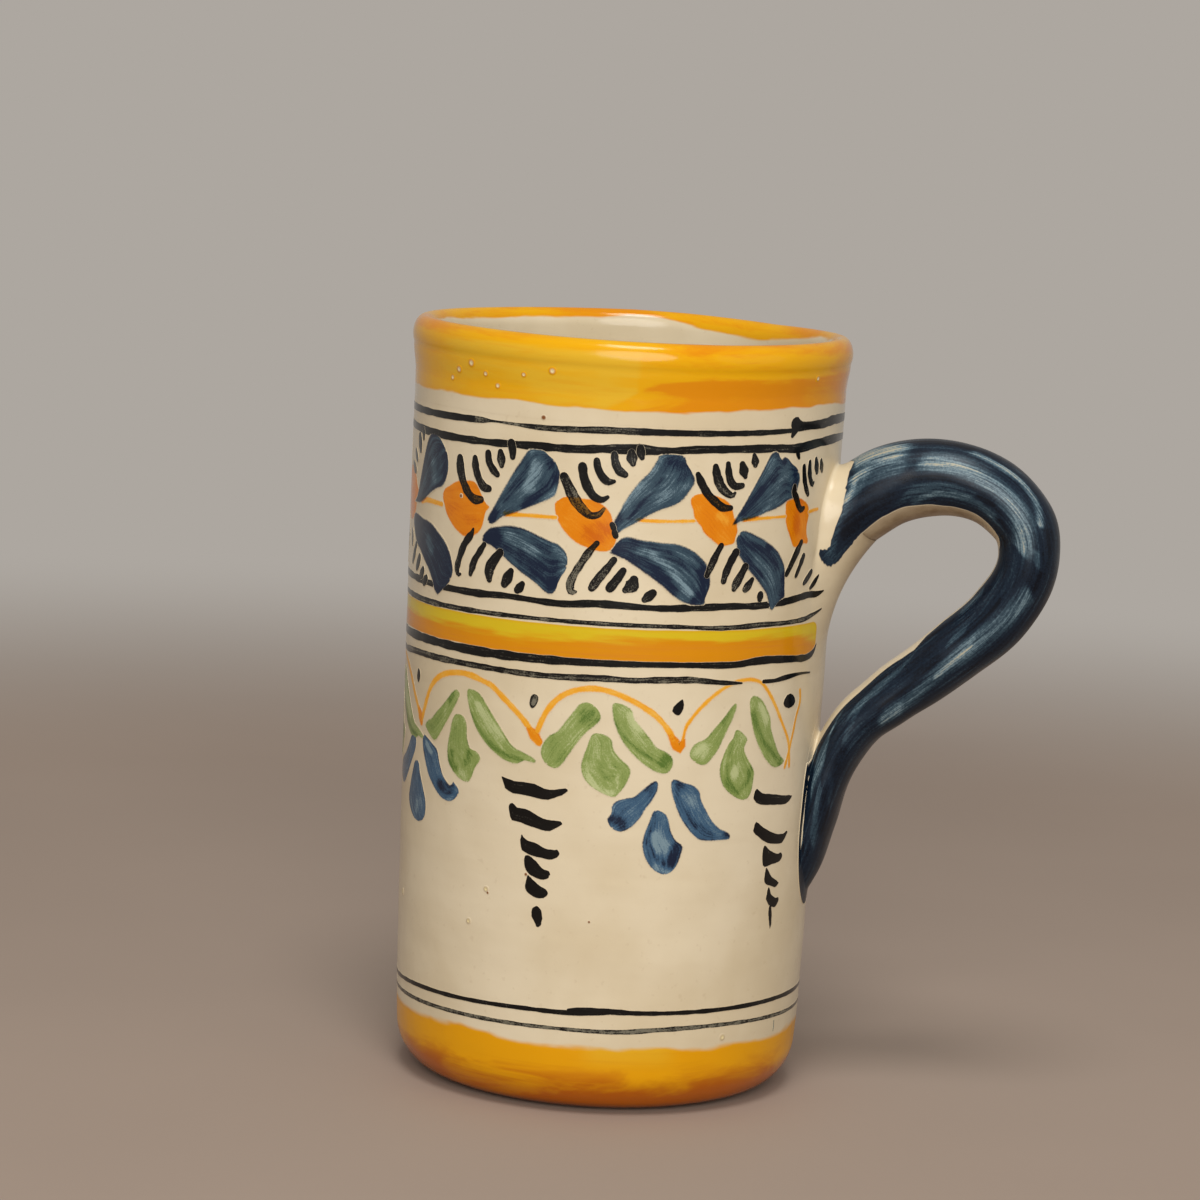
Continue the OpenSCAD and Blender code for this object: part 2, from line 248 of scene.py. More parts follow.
def settle(place, amount):
    """Moves a true round's point to where the uneven thrown wall has it."""
    x, y, z = place / MM
    radius = math.hypot(x, y)
    if radius < 1e-4:
        return place.copy()
    turn = math.atan2(y, x)
    hold = amount * (1 - ease((radius - 41) / 12))
    lean = 0.12 * math.cos(turn - math.radians(12)) * ease((z - 90) / 48)
    waves = (0.04 * math.sin(2 * turn + 0.6 + z * 0.011) + 0.03 * math.sin(3 * turn - z * 0.02 + 1.0)
             + 0.018 * math.sin(z * 0.52 + turn * 1.0))
    push = min(-0.2 + lean + waves, 0.0) * hold * ease(z / 3)
    rise = along_table(LIP_LEVELS, view_angle(math.degrees(turn))) * ease((z - 116) / 20) * hold
    grow = (radius + push) / radius
    return Vector((x * grow, y * grow, z + rise)) * MM


class CupShape:
    """Profile of the cup in millimetres."""

    def __init__(self, sizes):
        self.height = sizes.cup_height / MM
        self.lip_r = sizes.lip_radius / MM
        self.foot_r = sizes.foot_radius / MM
        self.wall_t = sizes.wall_thickness / MM
        self.floor_t = sizes.floor_thickness / MM
        self.neck_r = self.lip_r - 0.8
        self.neck_z = self.height - 9
        self.foot_round = 8.5
        self.foot_centre_r = self.foot_r - self.foot_round
        self.lip_t, self.lip_rise = 4.2, 3.2
        self.lip_centre_r = self.lip_r - self.lip_t / 2
        self.lip_centre_z = self.height - self.lip_rise
        self.well_round = 6.0
        self.lip_start = -30.0
        self.lip_low_r, self.lip_low_z = self.lip_point(self.lip_start)

    def lip_point(self, turn, take=0.0):
        turn = math.radians(turn)
        return (self.lip_centre_r + (self.lip_t / 2 - take) * math.cos(turn),
                self.lip_centre_z + (self.lip_rise - take) * math.sin(turn))

    def outer_r(self, z, take=0.0):
        if z < self.foot_round:
            inner = min(self.foot_round - z, self.foot_round - take)
            return self.foot_centre_r + math.sqrt(max((self.foot_round - take) ** 2 - inner ** 2, 0))
        share = min((z - self.foot_round) / (self.neck_z - self.foot_round), 1)
        radius = self.foot_r - take + (self.neck_r - self.foot_r) * share ** 0.65
        if z > self.neck_z:
            lead = 1.2
            above = (z - self.neck_z + lead) / (self.lip_low_z - self.neck_z + lead)
            radius += (self.lip_low_r - self.neck_r) * ease(above)
        return radius

    def inner_r(self, z, give=0.0):
        rise = (z - self.floor_t) / (self.lip_centre_z - self.floor_t)
        if z < self.foot_round:
            base = self.outer_r(self.foot_round)
        else:
            base = self.outer_r(min(z, self.neck_z))
        return base - self.wall_t + (self.lip_r - self.lip_t - self.neck_r + self.wall_t) * rise + give

    def outside(self, low, high, take=0.0, step=1.2):
        count = max(int(math.ceil((high - low) / step)), 1)
        return [(self.outer_r(z, take), z) for z in (low + (high - low) * i / count for i in range(count + 1))]

    def lip(self, take=0.0, count=22, last=180.0):
        return [self.lip_point(self.lip_start + (last - self.lip_start) * i / count, take) for i in range(1,
                                                                                                          count + 1)]

    def inside(self, high, low, give=0.0, step=1.6):
        count = max(int(math.ceil((high - low) / step)), 1)
        return [(self.inner_r(high + (low - high) * i / count, give), high + (low - high) * i / count)
                for i in range(1, count + 1)]

    def well(self, give=0.0):
        low_z = self.floor_t + self.well_round
        centre = self.inner_r(low_z) - self.well_round
        corner = [(centre + (self.well_round + give) * math.cos(math.radians(-90 * i / 10)),
                   low_z + (self.well_round + give) * math.sin(math.radians(-90 * i / 10))) for i in range(1, 11)]
        reach = corner[-1][0]
        # The floor rises a little to its middle and carries the thrower's spiral
        floor = [(reach * (1 - i / 14), self.floor_t - give + 0.25 * ease(i / 14) + 0.12 * math.sin(i * 1.9))
                 for i in range(1, 14)]
        return corner + floor + [(0.0, self.floor_t - give + 0.35)]

    def on_wall(self, place, take=0.0):
        radius = self.outer_r(place.z, take)
        return Vector((math.sqrt(max(radius * radius - place.y * place.y, 0)), place.y, place.z))


# ---- The pulled coil ----

# Share of the reach, of the offset, of the height, of the thickness and of the width
COIL_STATIONS = [
    (-0.324, -0.50, 0.747, 1.21, 1.10), (-0.127, -0.48, 0.826, 1.18, 1.10), (0.070, -0.46, 0.902, 1.08, 1.05),
    (0.285, -0.42, 0.972, 1.05, 1.02), (0.544, -0.35, 1.000, 1.00, 1.00), (0.792, -0.26, 0.976, 0.92, 0.95),
    (0.949, -0.18, 0.916, 0.84, 0.90), (1.000, -0.12, 0.845, 0.81, 0.88), (0.966, -0.04, 0.769, 0.82, 0.88),
    (0.862, 0.04, 0.691, 0.84, 0.88), (0.687, 0.12, 0.612, 0.84, 0.88), (0.502, 0.20, 0.540, 0.80, 0.88),
    (0.349, 0.27, 0.483, 0.75, 0.90), (0.217, 0.33, 0.427, 0.70, 0.95), (0.118, 0.39, 0.358, 0.64, 1.02),
    (0.054, 0.43, 0.275, 0.58, 1.05), (0.011, 0.46, 0.179, 0.54, 1.02), (-0.045, 0.48, 0.089, 0.53, 0.88),
    (-0.132, 0.50, 0.000, 0.50, 0.64)]

FLARE_ROWS, FLARE_COLUMNS = 26, 96
# Millimetres: how far the flares' glaze stands on their shape, and how long the coil counts between the flares
FLARE_LIFT, COIL_RUN = 0.012, 145
# From the top of the lip down to the coil's crest, and from there to its middle
LIP_TO_COIL, CREST_HALF = 17.1, 6.8


class CoilShape:
    """The coil and the flares that fair it into the wall, in millimetres.

    A place is (run, turn): run 0 to 1 is the upper flare from the wall to the coil, 1 to 2 the coil, and 2 to 3 the
    lower flare down to the wall; turn 0 is the outer side of the loop, -90 the side towards the camera."""

    def __init__(self, sizes, cup):
        self.cup = cup
        self.foot_z, self.tail_offset = 36.0, 1.6
        self.crest_z = cup.height - LIP_TO_COIL - CREST_HALF
        self.reach = sizes.handle_reach / MM
        self.half = sizes.coil_thickness / MM / 2
        self.wall_r = cup.outer_r((self.crest_z + self.foot_z) / 2)
        rise = self.crest_z - self.foot_z
        self.stations = [(self.wall_r + self.reach * s[0], self.tail_offset * s[1], self.foot_z + rise * s[2],
                          self.half * s[3], self.half * s[4]) for s in COIL_STATIONS]
        self.last = len(self.stations) - 1
        self.pitch = (rise + 2 * self.reach) / self.last
        self.upper = [self.wall_place(turn, 0, self.last * 0.19) for turn in range(0, 360, 4)]
        self.lower = [self.wall_place(turn, self.last, self.last * 0.67) for turn in range(0, 360, 4)]

    def at(self, u):
        index = int(clamp(math.floor(u), 0, self.last - 1))
        return bend(u - index, *(self.stations[clamp(index + k, 0, self.last)] for k in (-1, 0, 1, 2)))

    def on_coil(self, u, turn):
        c = self.at(u)
        near, far = self.at(max(u - 0.05, 0)), self.at(min(u + 0.05, self.last))
        run_x, run_z = far[0] - near[0], far[2] - near[2]
        size = math.hypot(run_x, run_z)
        run_x, run_z = run_x / size, run_z / size
        turn = math.radians(turn)
        lump = 1 + 0.012 * math.sin(u * 2.3 + 2 * turn) + 0.010 * math.sin(u * 4.1 - turn + 1)
        thick, wide = c[3] * lump, c[4] * lump
        return Vector((c[0] - run_z * thick * math.cos(turn), c[1] + wide * math.sin(turn),
                       c[2] + run_x * thick * math.cos(turn)))

    def wall_place(self, turn, start, end):
        for _ in range(24):
            middle = (start + end) / 2
            p = self.on_coil(middle, turn)
            if math.hypot(p.x, p.y) - self.cup.outer_r(p.z, 0.4) > 0:
                end = middle
            else:
                start = middle
        return (start + end) / 2

    @staticmethod
    def round_value(turn, outer, side, inner):
        turn = math.cos(math.radians(turn))
        return side + ((outer if turn > 0 else inner) - side) * turn * turn

    def seats(self, table, turn):
        share = (turn % 360) / 4
        index = int(share) % 90
        t = share - int(share)
        return table[index] * (1 - t) + table[(index + 1) % 90] * t

    def upper_climb(self, turn):
        return self.round_value(turn, 4, 7.5, 11) / self.pitch

    def lower_climb(self, turn):
        return self.round_value(turn, 1.6, 1.6, 5) / self.pitch

    def flare(self, turn, share, upper):
        """Hollow curve from the coil, share 0, to the wall, share 1."""
        if upper:
            place = self.seats(self.upper, turn)
            climb = self.on_coil(place + self.upper_climb(turn), turn)
            spread, way = self.round_value(turn, 2, 1.2, 14), 1
        else:
            place = self.seats(self.lower, turn)
            climb = self.on_coil(place - self.lower_climb(turn), turn)
            spread, way = self.round_value(turn, 1.4, 1.4, 5), -1
        seat = self.on_coil(place, turn)
        angle = math.radians(turn)
        edge = self.cup.on_wall(seat + Vector((0, math.sin(angle), way * math.cos(angle))) * spread)
        corner = self.cup.on_wall(seat) * 0.8 + (climb + edge) / 2 * 0.2
        first, second = climb.lerp(corner, 0.667), self.cup.on_wall(edge.lerp(seat, 0.6))
        rest = 1 - share
        place = climb * rest ** 3 + first * 3 * share * rest ** 2 + second * 3 * share ** 2 * rest + edge * share ** 3
        # The last of the slip lies thin on the wall
        if share > 0.03 and math.hypot(place.x, place.y) < self.cup.outer_r(place.z):
            place = self.cup.on_wall(place)
        return place

    def at_run(self, run, turn):
        if run < 1:
            return self.flare(turn, 1 - max(run, 0), True)
        if run > 2:
            return self.flare(turn, min(run, 3) - 2, False)
        first = self.seats(self.upper, turn) + self.upper_climb(turn)
        last = self.seats(self.lower, turn) - self.lower_climb(turn)
        return self.on_coil(first + (last - first) * (run - 1), turn)

    def lifted(self, run, turn, lift):
        """Point and outward direction at a place, raised by lift."""
        here = self.at_run(run, turn)
        step = 0.02
        low, high = max(run - step, 0.0), min(run + step, 3.0)
        along = self.at_run(high, turn) - self.at_run(low, turn)
        across = self.at_run(run, turn + 2) - self.at_run(run, turn - 2)
        out = along.cross(across)
        if out.length < 1e-9:
            out = Vector((1, 0, 0))
        out.normalize()
        # Near the wall the flare lies flat on it, so it's raised the way the wall faces
        close = ease(((1 - run if run < 1 else run - 2) - 0.35) / 0.35)
        if close > 0:
            out = out.lerp(Vector((here.x, here.y, 0)).normalized(), close).normalized()
        return here + out * lift, out

    @staticmethod
    def mm_along(run, flare=12):
        """A place's distance along the coil in millimetres, with each flare counted as flare long."""
        if run < 1:
            return (run - 1) * flare
        return (run - 1) * COIL_RUN if run < 2 else COIL_RUN + (run - 2) * flare

    @staticmethod
    def run_at(place, flare=12):
        if place < 0:
            return 1 + place / flare
        return 1 + place / COIL_RUN if place < COIL_RUN else 2 + (place - COIL_RUN) / flare


# ---- Meshes ----

def spun(profile, steps, closed=True):
    """A closed round skin from a profile of (radius, height)."""
    bm = bmesh.new()
    verts = [bm.verts.new((r * MM, 0, z * MM)) for r, z in profile]
    edges = [bm.edges.new(pair) for pair in zip(verts, verts[1:])]
    if closed and (profile[0][0] > 0 or profile[-1][0] > 0):
        edges.append(bm.edges.new((verts[-1], verts[0])))
    bmesh.ops.spin(bm, geom=verts + edges, cent=(0, 0, 0), axis=(0, 0, 1), angle=math.tau, steps=steps,
                   use_merge=True)
    bmesh.ops.remove_doubles(bm, verts=bm.verts[:], dist=2e-7)
    bmesh.ops.dissolve_degenerate(bm, edges=bm.edges[:], dist=1e-7)
    bmesh.ops.recalc_face_normals(bm, faces=bm.faces[:])
    return bm


def finish_piece(context, name, bm, material, stands_for=(), sharp=50.0):
    """Puts a mesh in the scene as one piece on the mug's body, as uneven as the thrown wall under it."""
    amount = context.scene.mug_sizes.unevenness
    for vert in bm.verts:
        vert.co = settle(vert.co, amount)
    mesh = bpy.data.meshes.new(name)
    bm.to_mesh(mesh)
    bm.free()
    if not mesh.polygons:
        raise RuntimeError(f"{name} has no faces")
    mesh.shade_smooth()
    mesh.set_sharp_from_angle(angle=math.radians(sharp))
    mesh.materials.append(material)
    piece = bpy.data.objects.new(name, mesh)
    context.scene.collection.objects.link(piece)
    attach(piece, "root")
    if stands_for:
        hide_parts(*stands_for)
    return piece


def laid_grid(bm, along, across, where):
    """A sheet of along by across faces. where(i, j) gives its points in metres and their values by layer name."""
    made = bmesh.ops.create_grid(bm, x_segments=along, y_segments=across, size=1.0)
    if len(made["verts"]) != (along + 1) * (across + 1):
        raise RuntimeError("the grid came out with another count of points")
    faces = set()
    for vert in made["verts"]:
        i = round((vert.co.x + 1) / 2 * along)
        j = round((vert.co.y + 1) / 2 * across)
        place, values = where(i, j)
        vert.co = place
        for layer, value in values.items():
            vert[bm.verts.layers.float[layer]] = value
        faces.update(vert.link_faces)
    return list(faces)


LAYERS = ("along", "across", "side", "edge", "share", "seed", "ink", "under")
# Metres: points nearer than this are one where a sheet meets itself round the coil
SEAM = 1e-6
# Metres: how thick the shells of brush strokes, of the flares, of the handle's paint and of specks are
STROKE_DEEP, FLARE_DEEP, HANDLE_PAINT_DEEP, SPECK_DEEP = 0.00008, 0.0003, 0.00012, 0.0002


def new_sheet(bm=None):
    """A mesh, new or given, with the layers that the paints read."""
    bm = bmesh.new() if bm is None else bm
    for layer in LAYERS:
        bm.verts.layers.float.new(layer)
    return bm


def flare_skin(bm, coil, low, unit=1.0):
    """The outer side of the flare whose run starts at low, with painted shade on its downward-facing side, away from
    the wall, in the layer "ink".
    """
    def where(i, j):
        run = low + j / FLARE_ROWS
        place, out = coil.lifted(run, i * 360 / FLARE_COLUMNS, FLARE_LIFT)
        on_wall = ease((1 - run if low == 0 else run - 2) / 0.8)
        # Painted shade: the more the flare faces down, the darker its glaze, except where it lies on the wall
        return place * unit, {"ink": 0.8 * ease(-out.z * 1.4 - 0.15) * (1 - on_wall)}

    laid_grid(bm, FLARE_COLUMNS, FLARE_ROWS, where)


def close_sheet(bm, depth, merge=2e-7):
    """Gives laid sheets a thickness, inwards from their outer side, as closed shells."""
    bmesh.ops.remove_doubles(bm, verts=bm.verts[:], dist=merge)
    bmesh.ops.dissolve_degenerate(bm, edges=bm.edges[:], dist=merge)
    bm.normal_update()
    inward = {vert: vert.normal * depth for vert in bm.verts}
    places = {vert.co.copy().freeze(): move for vert, move in inward.items()}
    made = bmesh.ops.extrude_face_region(bm, geom=bm.faces[:], use_keep_orig=True)
    for item in made["geom"]:
        if isinstance(item, bmesh.types.BMVert):
            item.co -= places.get(item.co.copy().freeze(), Vector())
    bmesh.ops.recalc_face_normals(bm, faces=bm.faces[:])
    return bm


# ---- Brush strokes ----

# Shares across a filled stroke and across a line where their rows of points lie
ACROSS = (0.0, 0.03, 0.08, 0.16, 0.25, 0.34, 0.43, 0.5, 0.57, 0.66, 0.75, 0.84, 0.92, 0.97, 1.0)
THIN_ACROSS = (0.0, 0.12, 0.3, 0.5, 0.7, 0.88, 1.0)
# Millimetres round the wall for a degree of view angle, at one radius for all strokes
MM_PER_DEGREE = math.radians(38.5)


def row_point(angle, radius, z):
    """Point at a view angle of the painted front."""
    turn = math.radians(angle - HANDLE_ANGLE)
    return Vector((radius * math.cos(turn), radius * math.sin(turn), z))


class Surface:
    """Where paint lies: the round wall, or the flares where they stand in front of it."""

    def __init__(self, sizes):
        self.cup = CupShape(sizes)
        self.coil = CoilShape(sizes, self.cup)
        bm = new_sheet()
        for low in (0.0, 2.0):
            flare_skin(bm, self.coil, low)
        self.tree = BVHTree.FromBMesh(bm)
        bm.free()
        self.camera = Matrix.Rotation(math.radians(CAMERA_TURN), 3, "Z") @ CAMERA_PLACE

    def place(self, angle, z, lift):
        """Point in metres of the paint seen at a view angle and height, raised by lift millimetres."""
        angle_here = view_angle(angle - HANDLE_ANGLE)
        radius = self.cup.outer_r(z)
        wall = row_point(angle, radius, z)
        # The flares can only hide the wall near the handle
        if 46 < angle_here < 116 and 20 < z < 122:
            start = self.camera if angle_here <= HANDLE_ANGLE else row_point(angle, radius + 80, z)
            way = (wall - start).normalized()
            hit, normal, _, far = self.tree.ray_cast(start, way)
            if hit is not None and far < (wall - start).length:
                if normal.dot(way) > 0:
                    normal = -normal
                return (hit + normal * (lift + FLARE_LIFT)) * MM
        return row_point(angle, radius + lift, z) * MM


class Brush:
    """Lays strokes of one piece on the mug's surface. Strokes are given as (view angle, height) in degrees and mm."""

    def __init__(self, context, layer, seed, below=()):
        self.surface = Surface(context.scene.mug_sizes)
        self.height = context.scene.mug_sizes.paint_height / MM
        self.lift = self.height * layer
        self.bm = new_sheet()
        self.random = random.Random(seed)
        self.below = below

    def over(self, x, z):
        """1 over the strokes that lie below: each is an outline, or a line and its half width."""
        for flat, half in self.below:
            if abs(x - flat[0][0]) < 22 and (line_gap(x, z, flat) < half if half else inside(x, z, flat)):
                return 1.0
        return 0.0

    def lay(self, rows, across, along_mm, tone, marks=()):
        """rows[i] = (point of one side, point of the other side) in degrees and mm."""
        seed = self.random.random()
        last = len(rows) - 1
        tips = [((a[0] + b[0]) / 2 * MM_PER_DEGREE, (a[1] + b[1]) / 2) for a, b in (rows[0], rows[-1])]
        marks = [([(angle * MM_PER_DEGREE, z) for angle, z in line], half, amount) for line, half, amount in marks]

        def where(i, j):
            (a_angle, a_z), (b_angle, b_z) = rows[i]
            v = across[j]
            angle, z = a_angle + (b_angle - a_angle) * v, a_z + (b_z - a_z) * v
            wide = math.hypot((b_angle - a_angle) * MM_PER_DEGREE, b_z - a_z)
            edge = min(v, 1 - v) * wide
            for tip in tips:
                edge = min(edge, math.hypot(angle * MM_PER_DEGREE - tip[0], z - tip[1]))
            ink = (tone(i / last) if callable(tone) else tone) + tone_at(angle * MM_PER_DEGREE, z, marks)
            values = {"along": along_mm * i / last, "across": (v * 2 - 1) * max(wide / 2, 0.2), "side": v * 2 - 1,
                      "edge": edge, "share": i / last, "seed": seed, "ink": ink,
                      "under": self.over(angle * MM_PER_DEGREE, z)}
            rise = self.lift + self.height * 0.6 * ease(edge / 0.5)
            return self.surface.place(angle, z, rise), values

        faces = laid_grid(self.bm, last, len(across) - 1, where)
        bmesh.ops.recalc_face_normals(self.bm, faces=faces)
        outward = 0.0
        for face in faces:
            face.normal_update()
            middle = face.calc_center_median()
            outward += face.normal.dot(Vector((middle.x, middle.y, 0)))
        if outward < 0:
            bmesh.ops.reverse_faces(self.bm, faces=faces)

    def line(self, given, widths, tone=0.6, wobble=0.0, step=0.7, marks=()):
        """A stroke along a centreline. widths are in mm, one for each point or one for all."""
        if not isinstance(widths, (list, tuple)):
            widths = [widths] * len(given)
        flat = [(angle * MM_PER_DEGREE, z, wide) for (angle, z), wide in zip(given, widths)]
        dense = smooth_curve(flat, 8)
        total = sum(math.hypot(q[0] - p[0], q[1] - p[1]) for p, q in zip(dense, dense[1:]))
        count = max(int(total / step), 6)
        body, _ = evenly(dense, [i / count for i in range(count + 1)])
        shift = self.random.random() * 9
        made = []
        for i, (x, z, wide) in enumerate(body):
            p, q = body[max(i - 1, 0)], body[min(i + 1, count)]
            run = math.hypot(q[0] - p[0], q[1] - p[1]) or 1e-9
            way = ((q[0] - p[0]) / run, (q[1] - p[1]) / run)
            wide *= 1 + wobble * noise.noise(Vector((x * 0.5, z, shift)))
            made.append((x, z, max(wide, 0.12) / 2, way))
        rows = self.round_end(made[0], -1) + made + self.round_end(made[-1], 1)[::-1]
        pairs = [(((x + way[1] * half) / MM_PER_DEGREE, z - way[0] * half),
                  ((x - way[1] * half) / MM_PER_DEGREE, z + way[0] * half)) for x, z, half, way in rows]
        self.lay(pairs, THIN_ACROSS, total, tone, marks)

    @staticmethod
    def round_end(row, sign):
        """Rows of a stroke's round tip, from its end inwards. sign is 1 ahead of the row and -1 behind it."""
        x, z, half, way = row
        made = []
        for turn in (0, 30, 60):
            on, side = sign * half * math.cos(math.radians(turn)), half * math.sin(math.radians(turn))
            made.append((x + way[0] * on, z + way[1] * on, side, way))
        return made

    def shape(self, outline, tone=0.5, marks=(), ragged=0.06, along=30):
        """A filled stroke from its outline."""
        flat = [(angle * MM_PER_DEGREE, z) for angle, z in outline]
        dense = smooth_curve(flat, 8, closed=True)
        shift = self.random.random() * 9
        dense = [(x + ragged * noise.noise(Vector((x * 2.1, z * 2.1, shift))),
                  z + ragged * noise.noise(Vector((x * 2.1, z * 2.1, shift + 5)))) for x, z in dense]
        best, ends = -1, (0, 1)
        for i in range(0, len(dense), 2):
            for j in range(i + 1, len(dense), 2):
                far = (dense[i][0] - dense[j][0]) ** 2 + (dense[i][1] - dense[j][1]) ** 2
                if far > best:
                    best, ends = far, (i, j)
        first, second = ends
        one = dense[first:second + 1]
        other = (dense[second:] + dense[:first + 1])[::-1]
        shares = [(1 - math.cos(math.pi * i / along)) / 2 for i in range(along + 1)]
        one, size = evenly(one, shares)
        other, _ = evenly(other, shares)
        if sum(p[0] for p in one[:3]) > sum(p[0] for p in one[-3:]):
            one, other = one[::-1], other[::-1]
        pairs = [((a[0] / MM_PER_DEGREE, a[1]), (b[0] / MM_PER_DEGREE, b[1])) for a, b in zip(one, other)]
        self.lay(pairs, ACROSS, size, tone, marks)

    def finish(self, context, name, material, slot=None):
        close_sheet(self.bm, STROKE_DEEP + self.lift * MM)
        return finish_piece(context, name, self.bm, material)


def moved(outline, by_angle=0.0, by_z=0.0, wide=1.0, about=0.0):
    """An outline widened about an angle, then moved round and up."""
    return [(about + (angle - about) * wide + by_angle, z + by_z) for angle, z in outline]


def toned(key, *move):
    """How loaded a stroke is and its marks, moved as its outline is."""
    tone, text = TONES.get(key, (0.45, ""))
    return tone, [(moved(line, *move), half, amount) for line, half, amount in tone_marks(text)]


# ---- Finishes ----

GRAIN_BROWN = (0.42, 0.30, 0.17)
# Painted shade for the undersides of the coil and the flares, in part the clay showing through thin glaze there
UNDERSIDE_SHADE_BROWN = (0.16, 0.095, 0.045)
CLAY_GRAIN = (0.62, 0.42, 0.28)
BAND_STREAK = (0.60, 0.20, 0.01)
ORANGE_THROUGH = (1.0, 0.52, 0.08)
WORN_OLIVE = (0.40, 0.34, 0.17)
LAMP_TINT = (1.0, 0.99, 0.97)


class Finish:
    """A node material, built up step by step on Object coordinates."""

    def __init__(self, name):
        self.material = bpy.data.materials.new(name)
        self.material.use_nodes = True
        self.tree = self.material.node_tree
        self.tree.nodes.clear()
        self.output = self.tree.nodes.new("ShaderNodeOutputMaterial")
        self.shader = self.tree.nodes.new("ShaderNodeBsdfPrincipled")
        self.tree.links.new(self.shader.outputs[0], self.output.inputs[0])
        self.coordinates = self.tree.nodes.new("ShaderNodeTexCoord").outputs["Object"]

    def put(self, socket, value):
        if isinstance(value, bpy.types.NodeSocket):
            self.tree.links.new(value, socket)
        elif hasattr(value, "__len__") and socket.type == "RGBA" and len(value) == 3:
            socket.default_value = (*value, 1.0)
        else:
            socket.default_value = value

    def noise(self, scale, detail=3.0, rough=0.5, where=None, twist=0.0):
        node = self.tree.nodes.new("ShaderNodeTexNoise")
        self.put(node.inputs["Vector"], where or self.coordinates)
        for key, value in (("Scale", scale), ("Detail", detail), ("Roughness", rough), ("Distortion", twist)):
            node.inputs[key].default_value = value
        return node.outputs[0]

    def drawn(self, sides, up, detail=3.0, rough=0.5, twist=0.0):
        """Noise with one scale across the cup and another along its height."""
        node = self.tree.nodes.new("ShaderNodeMapping")
        self.put(node.inputs["Vector"], self.coordinates)
        node.inputs["Scale"].default_value = (sides, sides, up)
        return self.noise(1.0, detail, rough, node.outputs[0], twist)

    def joined(self, x, y, z):
        node = self.tree.nodes.new("ShaderNodeCombineXYZ")
        for socket, value in zip(node.inputs, (x, y, z)):
            self.put(socket, value)
        return node.outputs[0]

    def apart(self):
        node = self.tree.nodes.new("ShaderNodeSeparateXYZ")
        self.put(node.inputs[0], self.coordinates)
        return node.outputs

    def radius(self):
        """Distance from the cup's axis."""
        x, y, _ = self.apart()
        return self.sum("SQRT", self.add(self.times(x, x), self.times(y, y)))

    def layer(self, name):
        node = self.tree.nodes.new("ShaderNodeAttribute")
        node.attribute_name = name
        return node.outputs["Fac"]

    def sum(self, kind, a, b=0.0):
        node = self.tree.nodes.new("ShaderNodeMath")
        node.operation = kind
        self.put(node.inputs[0], a)
        self.put(node.inputs[1], b)
        return node.outputs[0]

    def add(self, a, b):
        return self.sum("ADD", a, b)

    def times(self, a, b):
        return self.sum("MULTIPLY", a, b)

    def sway(self, value, reach):
        """A noise as a number between minus and plus reach."""
        return self.step(value, 0.3, 0.7, -reach, reach)

    def step(self, value, low, high, to_low=0.0, to_high=1.0):
        node = self.tree.nodes.new("ShaderNodeMapRange")
        node.interpolation_type = "SMOOTHSTEP"
        for socket, number in zip(node.inputs, (value, low, high, to_low, to_high)):
            self.put(socket, number)
        return node.outputs[0]

    def mix(self, share, a, b, kind="MIX"):
        node = self.tree.nodes.new("ShaderNodeMix")
        node.data_type = "RGBA"
        node.blend_type = kind
        self.put(node.inputs[0], share)
        self.put(node.inputs[6], a)
        self.put(node.inputs[7], b)
        return node.outputs[2]

    def bump(self, height, distance, strength=1.0, before=None):
        node = self.tree.nodes.new("ShaderNodeBump")
        node.inputs["Distance"].default_value = distance
        node.inputs["Strength"].default_value = strength
        self.put(node.inputs["Height"], height)
        if before:
            self.put(node.inputs["Normal"], before)
        return node.outputs[0]

    def glaze_skin(self, rough=0.16, spread=0.10, pull=1.0):
        """The shine and the small waves that every glazed surface of the mug has."""
        waves = self.noise(95, 2.0)
        rings = self.drawn(14, 170, 2.0)
        peel = self.noise(620, 2.0)
        normal = self.bump(waves, 0.00035 * pull, 0.5)
        normal = self.bump(rings, 0.00030 * pull, 0.45, normal)
        normal = self.bump(peel, 0.00005, 0.35, normal)
        self.put(self.shader.inputs["Normal"], normal)
        self.put(self.shader.inputs["Roughness"], self.step(self.noise(140, 4.0), 0.3, 0.75, rough, rough + spread))
        self.shader.inputs["IOR"].default_value = 1.5
        self.shader.inputs["Specular IOR Level"].default_value = 0.3

    def cream(self, colours):
        """The white glaze's own colour, the same wherever it shows."""
        cloud = self.noise(26, 4.0, 0.6)
        wash = self.drawn(16, 110)
        base = self.mix(self.step(cloud, 0.38, 0.68), colours.cream, colours.cream_shade)
        base = self.mix(self.step(wash, 0.5, 0.75, 0.0, 0.35), base, colours.cream_shade)
        grain = self.noise(900, 2.0)
        base = self.mix(self.step(grain, 0.64, 0.76, 0.0, 0.16), base, GRAIN_BROWN)
        return base

    def done(self, base):
        self.put(self.shader.inputs["Base Color"], base)
        return self.material


def cream_glaze(name, colours, pull=1.0, shade=None, thin=False):
    """White glaze. With thin set, it turns brown where the layer "ink" is high: painted shade on the undersides of the
    coil and the flares, standing in part for clay showing through thin glaze there.
    """
    finish = Finish(name)
    base = finish.cream(colours)
    if shade:
        base = finish.mix(finish.step(finish.noise(40, 3.0), 0.4, 0.7, 0.0, 0.6), base, shade)
    # Painted shade: the undersides, where the layer "ink" is high, are darkened to brown
    if thin:
        patchy = finish.step(finish.noise(300, 3.0), 0.3, 0.7, 0.75, 1.0)
        base = finish.mix(finish.times(finish.layer("ink"), patchy), base, UNDERSIDE_SHADE_BROWN)
    finish.glaze_skin(pull=pull)
    return finish.done(base)


